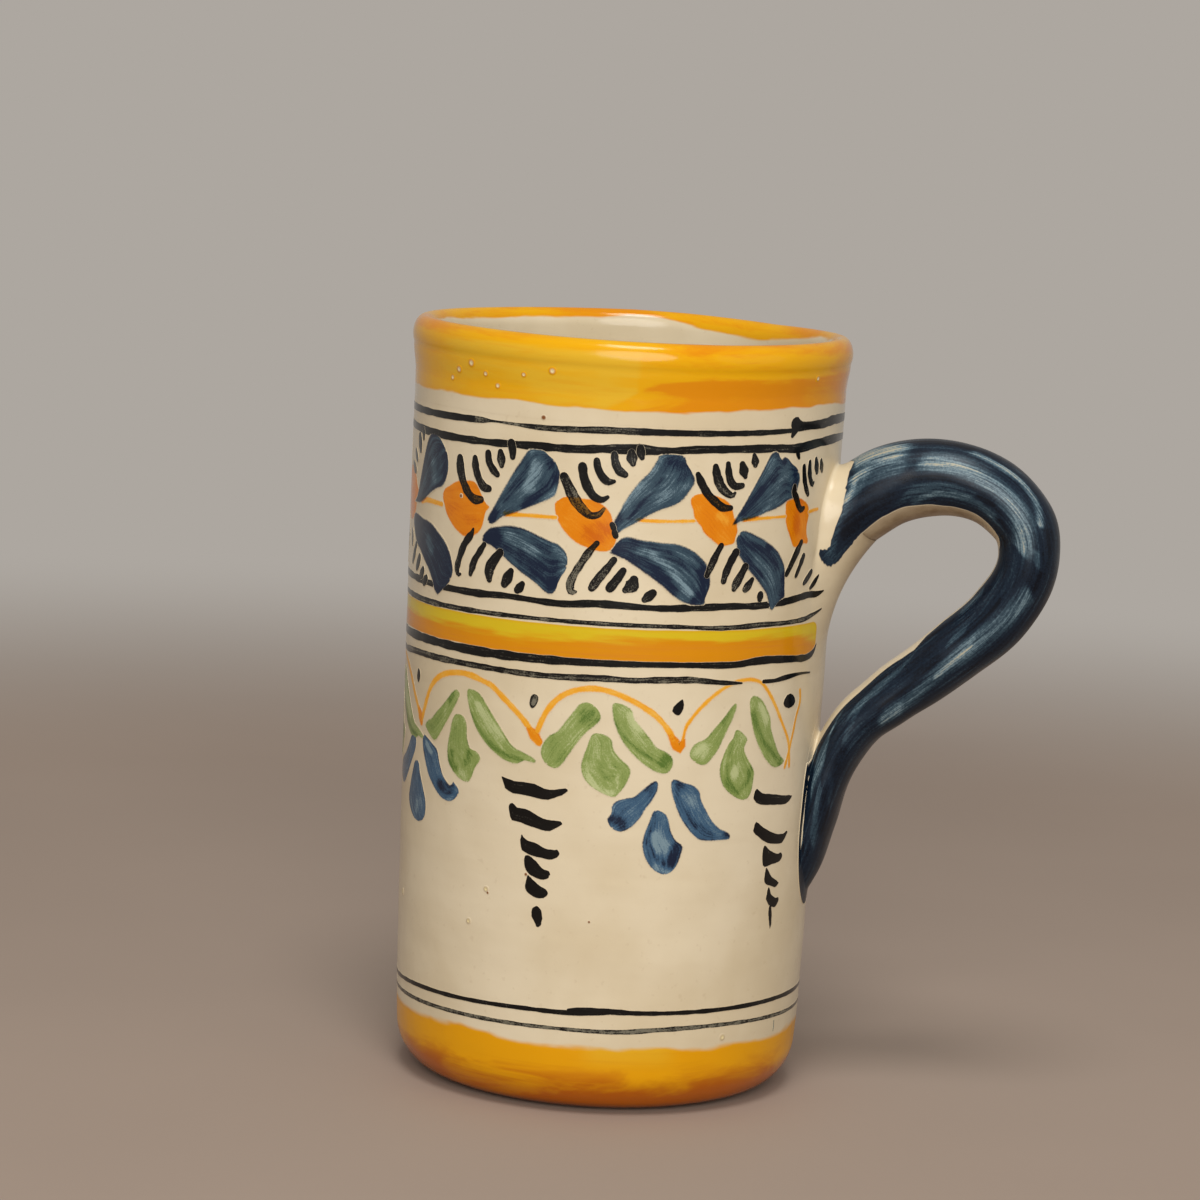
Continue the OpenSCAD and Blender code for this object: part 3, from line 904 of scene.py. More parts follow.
def fired_clay(colours):
    finish = Finish("fired_clay")
    rings = finish.noise(1.0, 2.0, where=finish.joined(finish.times(finish.radius(), 900), 0.0, 0.0))
    grain = finish.noise(1500, 3.0)
    cloud = finish.noise(60, 4.0)
    base = finish.mix(finish.step(cloud, 0.35, 0.7), colours.clay, scaled(colours.clay, 0.72))
    base = finish.mix(finish.step(grain, 0.58, 0.72, 0.0, 0.6), base, CLAY_GRAIN)
    normal = finish.bump(grain, 0.00012, 0.5)
    normal = finish.bump(rings, 0.00025, 0.6, normal)
    finish.put(finish.shader.inputs["Normal"], normal)
    finish.put(finish.shader.inputs["Roughness"], finish.step(cloud, 0.3, 0.7, 0.72, 0.9))
    return finish.done(base)


def rim_yellow(colours):
    """Yellow over the lip, orange where it was gone over twice, fading to the white glaze at its edges."""
    finish = Finish("rim_yellow")
    cream = finish.cream(colours)
    rag = finish.drawn(90, 300)
    painted = finish.add(finish.layer("edge"), finish.sway(rag, 0.3))
    sweep = finish.drawn(38, 230, 5.0, 0.65, twist=0.5)
    thick = finish.add(finish.layer("ink"), finish.sway(sweep, 0.22))
    yellow = finish.mix(finish.step(thick, -0.1, 0.45), colours.rim_pale, colours.rim)
    yellow = finish.mix(finish.step(thick, 0.5, 0.9), yellow, colours.rim_dark)
    streak = finish.drawn(60, 900, 3.0, 0.6)
    yellow = finish.mix(finish.step(streak, 0.52, 0.75, 0.0, 0.28), yellow, colours.rim_dark)
    yellow = finish.mix(finish.step(painted, 1.3, 0.2, 0.0, 0.25), yellow, colours.rim_dark)
    finish.glaze_skin(rough=0.1, pull=0.45)
    return finish.done(finish.mix(finish.step(painted, -0.12, 0.42), cream, yellow))


def foot_yellow(colours):
    finish = Finish("foot_yellow")
    cream = finish.cream(colours)
    rag = finish.drawn(80, 200)
    painted = finish.add(finish.layer("edge"), finish.sway(rag, 0.5))
    z = finish.apart()[2]
    sweep = finish.drawn(55, 190, 4.0, 0.6, twist=0.5)
    low = finish.add(finish.step(z, 0.0115, 0.001), finish.sway(sweep, 0.28))
    yellow = finish.mix(finish.step(low, 0.15, 0.95), colours.foot, colours.foot_dark)
    yellow = finish.mix(finish.layer("ink"), yellow, colours.rim_pale)
    streak = finish.drawn(25, 1200, 2.0)
    yellow = finish.mix(finish.step(streak, 0.55, 0.78, 0.0, 0.16), yellow, colours.foot_dark)
    brown = finish.step(z, 0.0022, 0.0006, 0.0, 0.75)
    yellow = finish.mix(brown, yellow, scaled(colours.foot_dark, 0.5))
    finish.glaze_skin(rough=0.16)
    return finish.done(finish.mix(finish.step(painted, -0.25, 0.85), cream, yellow))


def band_paint(colours):
    """The middle band: yellow above, orange drawn along below it, with streaks along the band."""
    finish = Finish("band_yellow_over_orange")
    z = finish.layer("across")
    seep = finish.drawn(45, 420, 3.0, 0.6)
    rise = finish.add(z, finish.sway(seep, 0.9))
    base = finish.mix(finish.step(rise, -0.9, 0.8), colours.band_orange, colours.band_yellow)
    streak = finish.drawn(30, 1300, 4.0, 0.65, twist=0.2)
    low = finish.times(finish.step(streak, 0.45, 0.7), finish.step(z, 0.6, -1.2))
    base = finish.mix(finish.times(low, 0.6), base, BAND_STREAK)
    edge = finish.layer("edge")
    base = finish.mix(finish.step(edge, 0.75, 0.15, 0.0, 0.35), base, colours.rim_dark)
    base = finish.mix(finish.step(edge, 0.05, 0.24), finish.cream(colours), base)
    finish.glaze_skin(rough=0.14)
    return finish.done(base)


def brush_paint(name, colours, pale, body, dark, grain=0.22, streaks=0.16, rim=0.25, rim_width=0.5, ends=0.15,
                feather=0.3, fan=False, load=0.0):
    """Glaze paint as a wet brush leaves it: grains of pigment, hairs drawn through it, darker rims and pools."""
    finish = Finish(name)
    under = finish.layer("under")
    ground = finish.mix(under, finish.cream(colours), colours.orange)
    along, across, edge, share = (finish.layer(key) for key in ("along", "across", "edge", "share"))
    seed = finish.times(finish.layer("seed"), 60.0)
    # The hairs of a broad stroke run together at its tips
    side = finish.times(finish.layer("side"), 2.4) if fan else across
    lanes = finish.joined(finish.times(along, 0.16), finish.times(side, 3.4), seed)
    hairs = finish.joined(finish.times(along, 0.3), finish.times(side, 9.0), seed)
    cloud = finish.joined(finish.times(along, 0.4), finish.times(across, 0.6), seed)
    fleck = finish.noise(4200, 2.0, 0.6)
    tone = finish.add(finish.layer("ink"), load)
    for rough, reach in ((finish.noise(1.0, 3.0, 0.55, where=lanes), streaks),
                         (finish.noise(1.0, 2.0, 0.5, where=hairs), streaks * 0.6),
                         (finish.noise(1.0, 2.0, 0.5, where=cloud), 0.12), (fleck, grain)):
        tone = finish.add(tone, finish.step(rough, 0.28, 0.72, -reach, reach))
    rag = finish.sway(finish.noise(1.0, 2.0, where=finish.joined(along, across, seed)), 0.2)
    tone = finish.add(tone, finish.step(finish.add(edge, rag), rim_width, 0.1, 0.0, rim))
    tip = finish.sum("MAXIMUM", finish.step(share, 0.84, 1.0), finish.step(share, 0.14, 0.0))
    tone = finish.add(tone, finish.times(tip, ends))
    base = finish.mix(finish.step(tone, 0.0, 0.5), pale, body)
    base = finish.mix(finish.step(tone, 0.5, 1.0), base, dark)
    base = finish.mix(under, base, ORANGE_THROUGH, "MULTIPLY")
    soft = finish.add(edge, finish.sway(fleck, 0.15 * feather))
    finish.glaze_skin(rough=0.15)
    return finish.done(finish.mix(finish.step(soft, 0.0, feather), ground, base))


def coil_paint(colours):
    """Dark blue dragged along the coil with a broad brush, worn pale in places, with two pale places painted as
    highlights: on the coil's near flank and on the upper flare.
    """
    finish = Finish("handle_blue")
    cream = finish.cream(colours)
    along, across, edge = (finish.layer(key) for key in ("along", "across", "edge"))
    lanes = finish.joined(finish.times(along, 0.05), finish.times(across, 0.9), 3.0)
    fine = finish.joined(finish.times(along, 0.10), finish.times(across, 3.4), 8.0)
    broad = finish.noise(1.0, 3.0, 0.6, where=lanes)
    hair = finish.noise(1.0, 3.0, 0.6, where=fine)
    fleck = finish.noise(2600, 3.0, 0.65)
    # The layer "ink" holds the thin places of the blue, two of which are painted highlights
    wash = finish.layer("ink")
    tone = finish.add(wash, finish.step(broad, 0.3, 0.75, -0.10, 0.32))
    tone = finish.add(tone, finish.sway(hair, 0.08))
    tone = finish.add(tone, finish.sway(fleck, 0.11))
    tone = finish.add(tone, finish.times(wash, finish.sway(hair, 0.22)))
    base = finish.mix(finish.step(tone, -0.2, 0.12), colours.handle_dark, colours.handle_blue)
    base = finish.mix(finish.step(tone, 0.12, 0.5), base, scaled(colours.petal, 0.8))
    base = finish.mix(finish.step(tone, 0.45, 0.95), base, scaled(colours.blue_pale, 0.9))
    base = finish.mix(finish.step(tone, 0.8, 1.2, 0.0, 0.7), base, finish.mix(0.5, cream, WORN_OLIVE))
    base = finish.mix(finish.step(wash, 1.5, 1.9), base, cream)
    base = finish.mix(finish.step(edge, 0.9, 0.2, 0.0, 0.3), base, colours.blue_dark)
    base = finish.mix(finish.step(edge, 0.0, 0.25), cream, base)
    finish.glaze_skin(rough=0.24, spread=0.16, pull=1.3)
    finish.shader.inputs["Specular IOR Level"].default_value = 0.22
    return finish.done(base)


# ---- The painted pattern, as view angle in degrees and height in mm ----

UPPER_LINES = [
    # First and second line over the frieze
    "-80 121.5 1, -60 121.5 1, -43 121.7 0.9, -35.8 121.8 0.35, -22 121.6 0.8, -13 121.8 0.9, -3 122.1 1, "
    "16 122.2 0.9, 35 122.4 0.8, 45 122.6 0.7, 58 122.9 0.3",
    "48.8 123.8 2, 52 123.4 1.2, 62 123.5 1.3, 70 123.9 1.4, 90 123.6 1.1, 120 122.8 1, 155 122.2 0.9, "
    "200 121.9 1.1, 240 121.6 0.9, 281 121.5 1",
    "-80 118.2 1.1, -60 117.9 1.1, -40 117.9 1, -30 118.1 1, -20 118.2 1.1, -12 118.3 1.1, -5 118.7 1.1, "
    "4 118.9 1.5, 10 118.8 1.1, 20 119.3 1.1, 40 119.5 1.1, 50 119.3 1.2, 60 120 1.3, 75 120.3 1.1, 95 119.8 1, "
    "130 118.9 1.1, 170 118.4 0.9, 215 118.5 1.1, 250 118.3 1, 281 118.2 1.1",
]
# The first line over the frieze is loaded at its ends and runs dry between
UPPER_TONES = tone_marks("-80 121.5, -45 121.7: 1 0.35; 4 122, 58 122.9: 1 0.35; -33 121.7, -30 121.7: 0.6 -0.3")
# Drips and second touches on the two lines over the frieze
LINE_BLOBS = ["50.2 119.4 1.2, 50.4 118.4 1.3, 51 117.6 0.8", "3.2 119.5 1.1, 3.6 118.5 0.9",
              "-31.5 118.2 1.2, -31 117 1", "47.6 121.7 1, 48.9 123.1 1.9, 51 123.5 1.5, 55 123.5 1.1"]
MIDDLE_LINES = [
    "-80 91.3 1, -60 91.1 0.9, -40 91.2 1, -30 91.5 0.8, -15 91.2 0.9, -5 91.7 1, 10 91.4 0.9, 20 91.6 1, "
    "30 91.8 0.9, 40 91.7 0.9, 50 92.1 1, 60 92.7 1, 66 92.5 0.8, 72 92.7 0.3",
    "93 92.3 0.4, 120 91.9 0.9, 150 91.4 1, 190 91.7 0.9, 230 91.2 1, 281 91.3 1",
    "-80 87.9 0.8, -60 87.8 0.8, -40 88 0.7, -20 88.2 0.6, 14 88.25 0.6, 25 88 0.6, 34 88.1 0.7, 41 88.3 0.7, "
    "50 88.25 0.7, 59 88.4 0.7, 63 88.8 0.7, 71 89.5 0.3",
    "91 89 0.3, 110 88.5 0.7, 150 88.1 0.6, 200 88.3 0.8, 245 87.9 0.7, 281 87.9 0.8",
    "-80 80.8 1.2, -60 81 1.2, -40 81 1.2, -20 81.15 1.1, 14 81.5 0.8, 32 81.4 0.9, 39 81.8 1.1, 45 81.9 1.1, "
    "52 81.65 1, 59 81.35 1, 62 81.3 1, 65.5 81.65 0.9, 67.7 82.4 0.7, 68.6 83.2 0.4",
    "89.6 82.6 0.4, 92 81.6 0.9, 110 81.2 1.1, 150 81 1, 200 81.3 1.2, 245 80.9 1.1, 281 80.8 1.2",
    "-80 77.5 0.9, -70 78 0.9, -60 78.2 0.9, -40 78.4 0.8, -22 78.3 0.8, -10 78.5 0.9, -3 78.7 0.9, 5 78.6 0.8, "
    "11 78.8 0.9, 20 78.9 0.9, 24 78.7 0.8, 30 78.3 0.7, 35.7 78.1 0.3",
    "43.3 78.1 0.5, 47.6 78.05 0.6, 52 78.35 0.8, 59 78.6 0.5, 65.5 78.35 0.3",
    "90.5 78.3 0.3, 110 78.4 0.8, 150 78 0.9, 200 78.4 0.8, 245 78.2 0.9, 280 77.5 0.9",
]
LOWER_LINES = [
    "-80 17.2 0.9, -60 17.9 0.9, -41 18.3 0.9, -22 18.7 0.9, -10 18.75 1, -2 18.9 0.9, 4 19 0.3",
    "-7.5 19.3 0.6, -3 19.45 1.2, 5 19.4 1.1, 16 19.2 0.9, 54 19.2 0.9, 75 19 0.9, 110 18.6 0.9, 150 17.9 0.8, "
    "190 18.3 1, 235 17.6 0.9, 281 17.2 0.9",
    "-80 14.85 0.8, -60 15.2 0.8, -41 15.5 0.8, -13 15.75 0.8, 6 15.75 0.9, 18 16.2 1, 35 16.4 0.8, 55 16.1 0.8, "
    "74 15.75 0.8, 110 15.5 0.8, 150 15 0.7, 190 15.4 0.8, 235 14.9 0.8, 281 14.85 0.8",
]

PETALS = {
    "p1": points("-75 104.6, -72.5 106, -70.5 109, -68.5 112.3, -66 115.8, -64 117.6, -61 117.9, -58 117.2, "
                 "-54.5 115, -53.5 113.3, -53.5 111.5, -54.3 110, -55.8 108.7, -58 108.2, -61 107.4, -64 106.3, "
                 "-67 105.2, -70 104.6"),
    "p2": points("-37.6 104.3, -37.3 105.3, -36 106.7, -34 109, -32 111.3, -30 113.5, -28 115.5, -26.3 117.3, "
                 "-25.5 117.7, -22 117.7, -20.5 117, -18.5 116, -17.3 114.7, -16.6 113.3, -17 111.5, -17.3 110.5, "
                 "-18 109.6, -20 108.8, -22.5 108, -25 107.2, -28 106.3, -30.5 105.6, -33 104.9, -35 103.8, "
                 "-36.5 103.6"),
    "p3": points("-2 103.3, -2.8 105.2, -2.5 106.2, 0 109.7, 2 112, 4 113.8, 6 115.2, 7.5 117, 8.8 118.3, "
                 "14.5 118.2, 16 116.5, 17.5 115, 18.3 113.6, 17 111.8, 15.5 110.4, 14 109.6, 12 109, 9.5 108.4, "
                 "7.5 107.7, 5.5 106.9, 4 106.2, 2.5 105.6, 0.5 104.8, -0.7 104.1"),
    "p4": points("29.2 106.1, 30 107.3, 31.5 108.8, 33.5 111, 35.5 113.3, 37.5 115.5, 39 117.3, 40 118.5, 41 119, "
                 "42.5 119, 43.5 117.9, 44 117.5, 45 118, 46.5 117.7, 48 116.8, 50 116, 51.2 115.2, 51.9 114.3, "
                 "52.1 113.3, 51.5 112.2, 51 110.8, 50 110.3, 48 110, 46 109.3, 43.5 108.6, 40.5 108.1, 38 107.5, "
                 "36 107.1, 33.5 106.7, 31.5 106.4, 30.5 106"),
    "q1": points("-75.5 102, -74 102.7, -72 102.8, -69 102.6, -66.5 102.3, -63.5 102.2, -60.5 101.8, -57.5 100.8, "
                 "-54.5 99.7, -52.5 98.5, -51 97.2, -50 95.7, -49.6 94.5, -50 93.3, -51.5 91.8, -53 91, -55 89.9, "
                 "-56.5 89.3, -58 89.8, -58.7 90.4, -59.5 91.5, -61.5 93, -63.5 94, -66 95.2, -68.5 96.3, "
                 "-70.5 96.8, -73 98, -74.5 99.3, -75.7 100.5"),
    "q2": points("-39.1 101.2, -38 102.3, -36.5 103.2, -34 103.6, -31 104, -28 104, -25 103.6, -22 102.9, -19 102.2, "
                 "-16.5 101.7, -14.5 100.6, -13.7 99.4, -13.7 98, -14.3 96.7, -15.3 95.7, -16 94.5, -16.5 93.2, "
                 "-17.5 92.5, -18.5 92.5, -19.8 93, -21 93.6, -23 94.5, -26 95.6, -28.5 96.6, -31 97.7, -33 98.6, "
                 "-35.5 99.6, -37.3 99.9, -38.7 100.1"),
    "q3": points("-3 100.6, -2.3 101.5, -1.2 102.7, 0.3 103.6, 2 103.8, 5 103.4, 8 103.2, 11 103, 14 102.9, "
                 "16.5 102.5, 19 101.7, 21 100.7, 23 99.3, 24 97.5, 24.3 96, 23.8 94.7, 23 93.3, 22.8 92.1, 20 91.9, "
                 "17.5 92.2, 15 93, 13 94, 11 95.1, 8.5 96.3, 6 97.4, 3.5 98.5, 1 99.5, -1 100"),
    "q4": points("30.6 103.2, 31 104, 32.2 105, 33.5 105.2, 36 104.7, 38.5 104, 41 103.2, 43.5 102.2, 45.5 101.2, "
                 "47.3 99.7, 48.5 98.2, 48.8 96.5, 49 95, 49.3 93.5, 49.2 92.8, 47.5 92.3, 46.5 91.9, 45.2 91.1, "
                 "44.2 90.5, 43.5 90.9, 43 91.8, 42.5 92.5, 42 93.4, 40.3 94.7, 38.5 95.9, 36.5 97.2, 34.5 98.4, "
                 "32.8 99.8, 31.3 101, 31 102.3"),
}
DOTS = {
    "d1": points("-55.7 107.5, -54.8 108.6, -53 109.2, -51 109.9, -49.3 110.4, -46 110.7, -43.5 110.9, -42 110.5, "
                 "-40.8 109.5, -39.8 108.5, -38.5 107.4, -37 106.6, -38.3 105.5, -38.7 104.3, -39.3 102.8, "
                 "-40.5 101.7, -42.5 101, -44.5 100.7, -46 100.6, -48 101.2, -50 101.9, -52 103, -53.5 104, "
                 "-54.5 105.3, -55.5 106.5"),
    "d2": points("-17.9 108.5, -16.5 109.4, -15 110, -12 109.9, -9 109.9, -7 109.6, -5 109, -3.5 108, -2.5 107, "
                 "-2.5 105.5, -1.5 103.8, -1.2 103, -2 101.8, -3 101, -5 100.7, -7.5 100.9, -9.5 101.4, -11.5 101.8, "
                 "-13.5 102.8, -15 103.7, -16.5 105, -17.5 106.3"),
    "d3": points("17.1 110.3, 17.7 111.1, 19.5 111.6, 21.5 111.6, 24.5 111.3, 26.5 110.8, 28 110.2, 29.3 109, "
                 "30 107.5, 31 106, 31.3 105, 30.7 104, 30.3 102.9, 28.5 102.5, 26.5 102.4, 25 102.7, 23.5 103.5, "
                 "21.5 104.5, 20 106, 18.5 107, 18 108.5, 17.3 109.6"),
    "d4": points("47 109.7, 49.5 110.4, 52.5 110.5, 54.8 110, 56.7 109.3, 57.7 108.3, 57.8 107, 57.2 105.5, "
                 "57.3 104, 58.2 102.9, 58 102, 56 102, 53.5 101.8, 51.5 101.5, 50.3 102.5, 49 104, 47.8 105.3, "
                 "47.2 106.7, 47 108"),
}
THIN_LINES = {
    "t0": (points("-68 105.2, -64 105.7, -56 105.6"), 1.2), "t1": (points("-32 105.7, -25 106, -17.5 106.1"), 0.9),
    "t2": (points("4 106.6, 11 106.6, 18.5 106.8"), 0.8), "t3": (points("33 107, 40 107.2, 47 107.3"), 0.8),
    "t4": (points("57.8 107.7, 60 107.9, 62.5 108"), 0.8)}
# Each dash: angle, height and width
DASHES = {
    "a": ["-48.5 114.2 1.5, -48.2 112.5 1.6, -47 110.5 1.5, -45 108.7 1.5, -42.5 107.6 1.4, -40 107.7 1.1",
          "-42.7 114.7 1.2, -42.3 113 1.3, -41 111.2 1.3, -39.3 110 1.3, -37.5 109.8 1",
          "-38.2 115.9 1.2, -37.8 114.5 1.2, -36.5 113.3 1.3, -35 112.5 1",
          "-34.2 116.4 1, -33.9 115.3 1.5, -33.7 114.2 0.9", "-31 118.2 1.2, -30.5 117 1.3, -30.4 115.9 1",
          "-42.3 102.3 0.5, -43 101.3 1, -45 99.8 1.2, -46.5 98 1.2, -47.5 96.2 1.2, -48 94.8 1.1, -47.3 93.9 0.8, "
          "-46.5 94 0.5",
          "-38.3 99.9 0.9, -40 98.3 1.15, -41.5 96.8 1.2, -42.3 95.3 1.15, -42.7 94.4 0.8",
          "-33 98.9 1.1, -34.5 97.7 1.4, -36 96.2 1.6, -36.3 95 1.5, -36.1 94 0.9",
          "-29.4 95.9 1, -30.3 94.7 1.6, -31.2 93.6 1.3", "-25.9 93.9 1, -26.6 93.2 1.3, -27.2 92.8 1.1"],
    "b": ["-15.7 113.3 1.3, -14.5 111.8 1.5, -13 110 1.5, -11 108.3 1.4, -8.5 107 1.2, -6.3 107.2 0.9, -5 108.2 0.6",
          "-11 115.3 1.2, -10.5 113.5 1.3, -9.3 111.7 1.3, -7.7 110.3 1.2, -5.7 109.8 1, -4.2 110.3 0.6",
          "-7.4 116.5 0.9, -7 115.2 1.1, -5.8 113.8 1.2, -4.3 113 1.1, -2.8 113.1 0.7",
          "-3 117.8 0.9, -2.7 116.5 1.1, -1.7 115.1 1.2, -0.1 114.4 0.9", "1.3 118.3 1.1, 1.5 117.2 1.6, 1.8 116.4 1",
          "3.5 119.2 1, 3.7 118.2 1.3, 4 117.5 0.8",
          "-6.3 102.2 0.9, -8.3 100.5 1.1, -10.3 98.3 1.1, -11.8 96.5 1.1, -12.7 94.8 1.2, -12.3 93.5 1.1, "
          "-11.2 93.5 0.5",
          "-1.7 99.5 0.9, -3.5 97.8 1.2, -5.5 96 1.3, -7 94.4 1.2", "0.8 97.7 0.9, -0.5 96.3 1.3, -2.3 94.6 1.3",
          "3.7 96.2 1.1, 3.2 95.2 1.9, 1.7 94.4 1", "8.7 94 1.2, 7.7 93.4 1.4, 6.8 92.9 0.9"],
    "c": ["18.8 114.9 0.8, 20 113.3 1.1, 21.8 111.5 1.2, 24 110.2 1.2, 26.2 109.2 1.2, 28.5 109.1 0.9",
          "23.5 116.3 1, 24 114.8 1.3, 25.2 113 1.3, 27 111.8 1.1, 28.8 111.3 0.8, 29.5 111.7 0.5",
          "27 116.8 0.9, 27.3 115.3 1.2, 28 113.8 1.3, 29.5 112.9 1.2, 31.5 113 0.8",
          "31.2 116.7 1, 31.8 115.5 1.5, 32.3 114.6 0.8", "34.7 118.3 0.8, 35.1 117.2 1.4, 35.2 116.6 0.8",
          "26.5 102.5 0.8, 25.3 101 1, 24 99 1.1, 23 97.3 0.8",
          "31 101.3 1.2, 29.5 99.5 1.2, 28.3 97.5 1.1, 27.9 96.3 0.9",
          "34.2 98.7 1.1, 32.8 97 1.3, 31.5 95.5 1.4, 31.2 94.9 1", "36.7 96.4 0.9, 35.6 95.4 1.3, 34.8 94.8 1",
          "39.9 93.6 1.1, 39.85 93.2 1.2, 39.8 92.9 1"],
    "d": ["50 112.5 0.9, 49.9 111.5 1.1, 51.2 110.3 1.1, 52.3 109 1.1, 53.5 108.3 1, 54.7 108.5 0.7",
          "53.5 115.9 0.9, 54 114 1.1, 55 112.2 1, 56.3 110.9 0.7",
          "56.2 116.6 0.9, 56.3 115 1.1, 57 113.5 1, 58.3 112.6 0.8, 58.8 112.9 0.5",
          "59.3 117 0.8, 59.8 115.8 1.3, 60.2 114.8 0.9", "62.3 116.6 0.9, 62.8 115.6 1.1, 63.2 114.9 0.8",
          "54.8 102.4 0.9, 53 100.7 1.2, 51 98.7 1.2, 49.3 97 0.9", "56.4 99.9 0.9, 55 98.2 1, 53.5 96.5 0.8",
          "61.3 96.8 0.9, 59.5 95.8 1, 57.8 95 0.8", "66.5 95.8 0.5, 64 94.8 1.1, 61.5 93.9 0.7"],
    "e": ["-79 111.2 1.2, -77 110.5 1.4, -75.5 110.2 1.1", "-76 113.5 1.2, -75 112.8 1.3, -74 112.3 1",
          "-72 116.3 1.5, -71.4 115.2 1.8, -71 114.3 1.3", "-69 117.8 1.2, -68.8 117.2 1.3, -68.7 116.6 1",
          "-77 99 1, -76.6 98 1.3, -76.5 97 1", "-72 97 1.1, -73.5 95.2 1.4, -75 93.8 1.1",
          "-68.5 95 1.2, -69.6 93.8 1.5, -70.5 93 1.2", "-65.5 93 1.1, -66.3 92.3 1.4, -67 91.8 1.1",
          "-63 91.8 1, -63.8 91.3 1.3, -64.5 90.8 1"],
}
# Units of the frieze round the back: which unit is repeated, and by how many degrees it is moved
FRIEZE_BACK = [("c", "d3", "p4", "q4", "t3", 80.0), ("a", "d1", "p2", "q2", "t1", 187.0),
               ("b", "d2", "p3", "q3", "t2", 184.5), ("c", "d3", "p4", "q4", "t3", 185.0),
               ("a", "d1", "p2", "q2", "t1", 291.5)]

ARCHES = [
    (points("-80 75.9, -76.2 74.8, -72.3 73, -68.8 70.4, -65.8 68.3, -63.8 66.3"), 1.2),
    (points("-63.1 66, -61.2 68.8, -60 70.6, -58.5 72.4, -56.2 74, -53.1 75.3, -50 76, -46.9 76.4, -43.5 76.6, "
            "-40 76.4, -36.9 75.9, -33.8 75.3, -30 73.5, -26.9 71.9, -24.2 70.4, -21.9 68.8, -20 67.3"), 1.2),
    (points("-19.7 68.4, -18.5 70.5, -17 72.5, -14.3 74.6, -11.2 75.9, -7.8 76.6, -4.3 76.8, -0.5 76.4, 3.4 75.5, "
            "7.2 74.3, 11.1 72.7, 13.8 71, 15.7 69.4, 16.8 68.1"), 1.2),
    (points("19.2 68.1, 19.8 70.4, 21.2 71.9, 23.8 74, 27.4 76.1, 31 77.6, 34.1 78.4, 37.7 78.65, 40.9 78.35, "
            "43.5 77.45, 46.7 75.2, 49.8 72.5, 52 70.4, 54.3 68.3, 55.9 66.5, 56.5 65, 57.2 62"), 0.9),
    (points("60.1 75.5, 60.6 73.4, 59.2 71, 58.1 68.3, 57.2 66.5, 56.3 64.4, 55 62"), 0.9),
]
POOLS = ["-65.2 68 1.3, -64 67 2, -63.2 65.8 1.6", "-22 68.7 1.3, -20.6 67.7 2, -19.2 66.6 1.6",
         "15.7 69.2 1.2, 17 67.9 1.9, 18.4 66.8 2.1, 19.4 68.2 1"]
# The dot under the second meeting of two arches, which the back repeats
MEETING_DOT = points("18.5 75.5, 19 74.1, 17.7 72.6, 15.8 73.3, 16 74.2, 17.3 75")
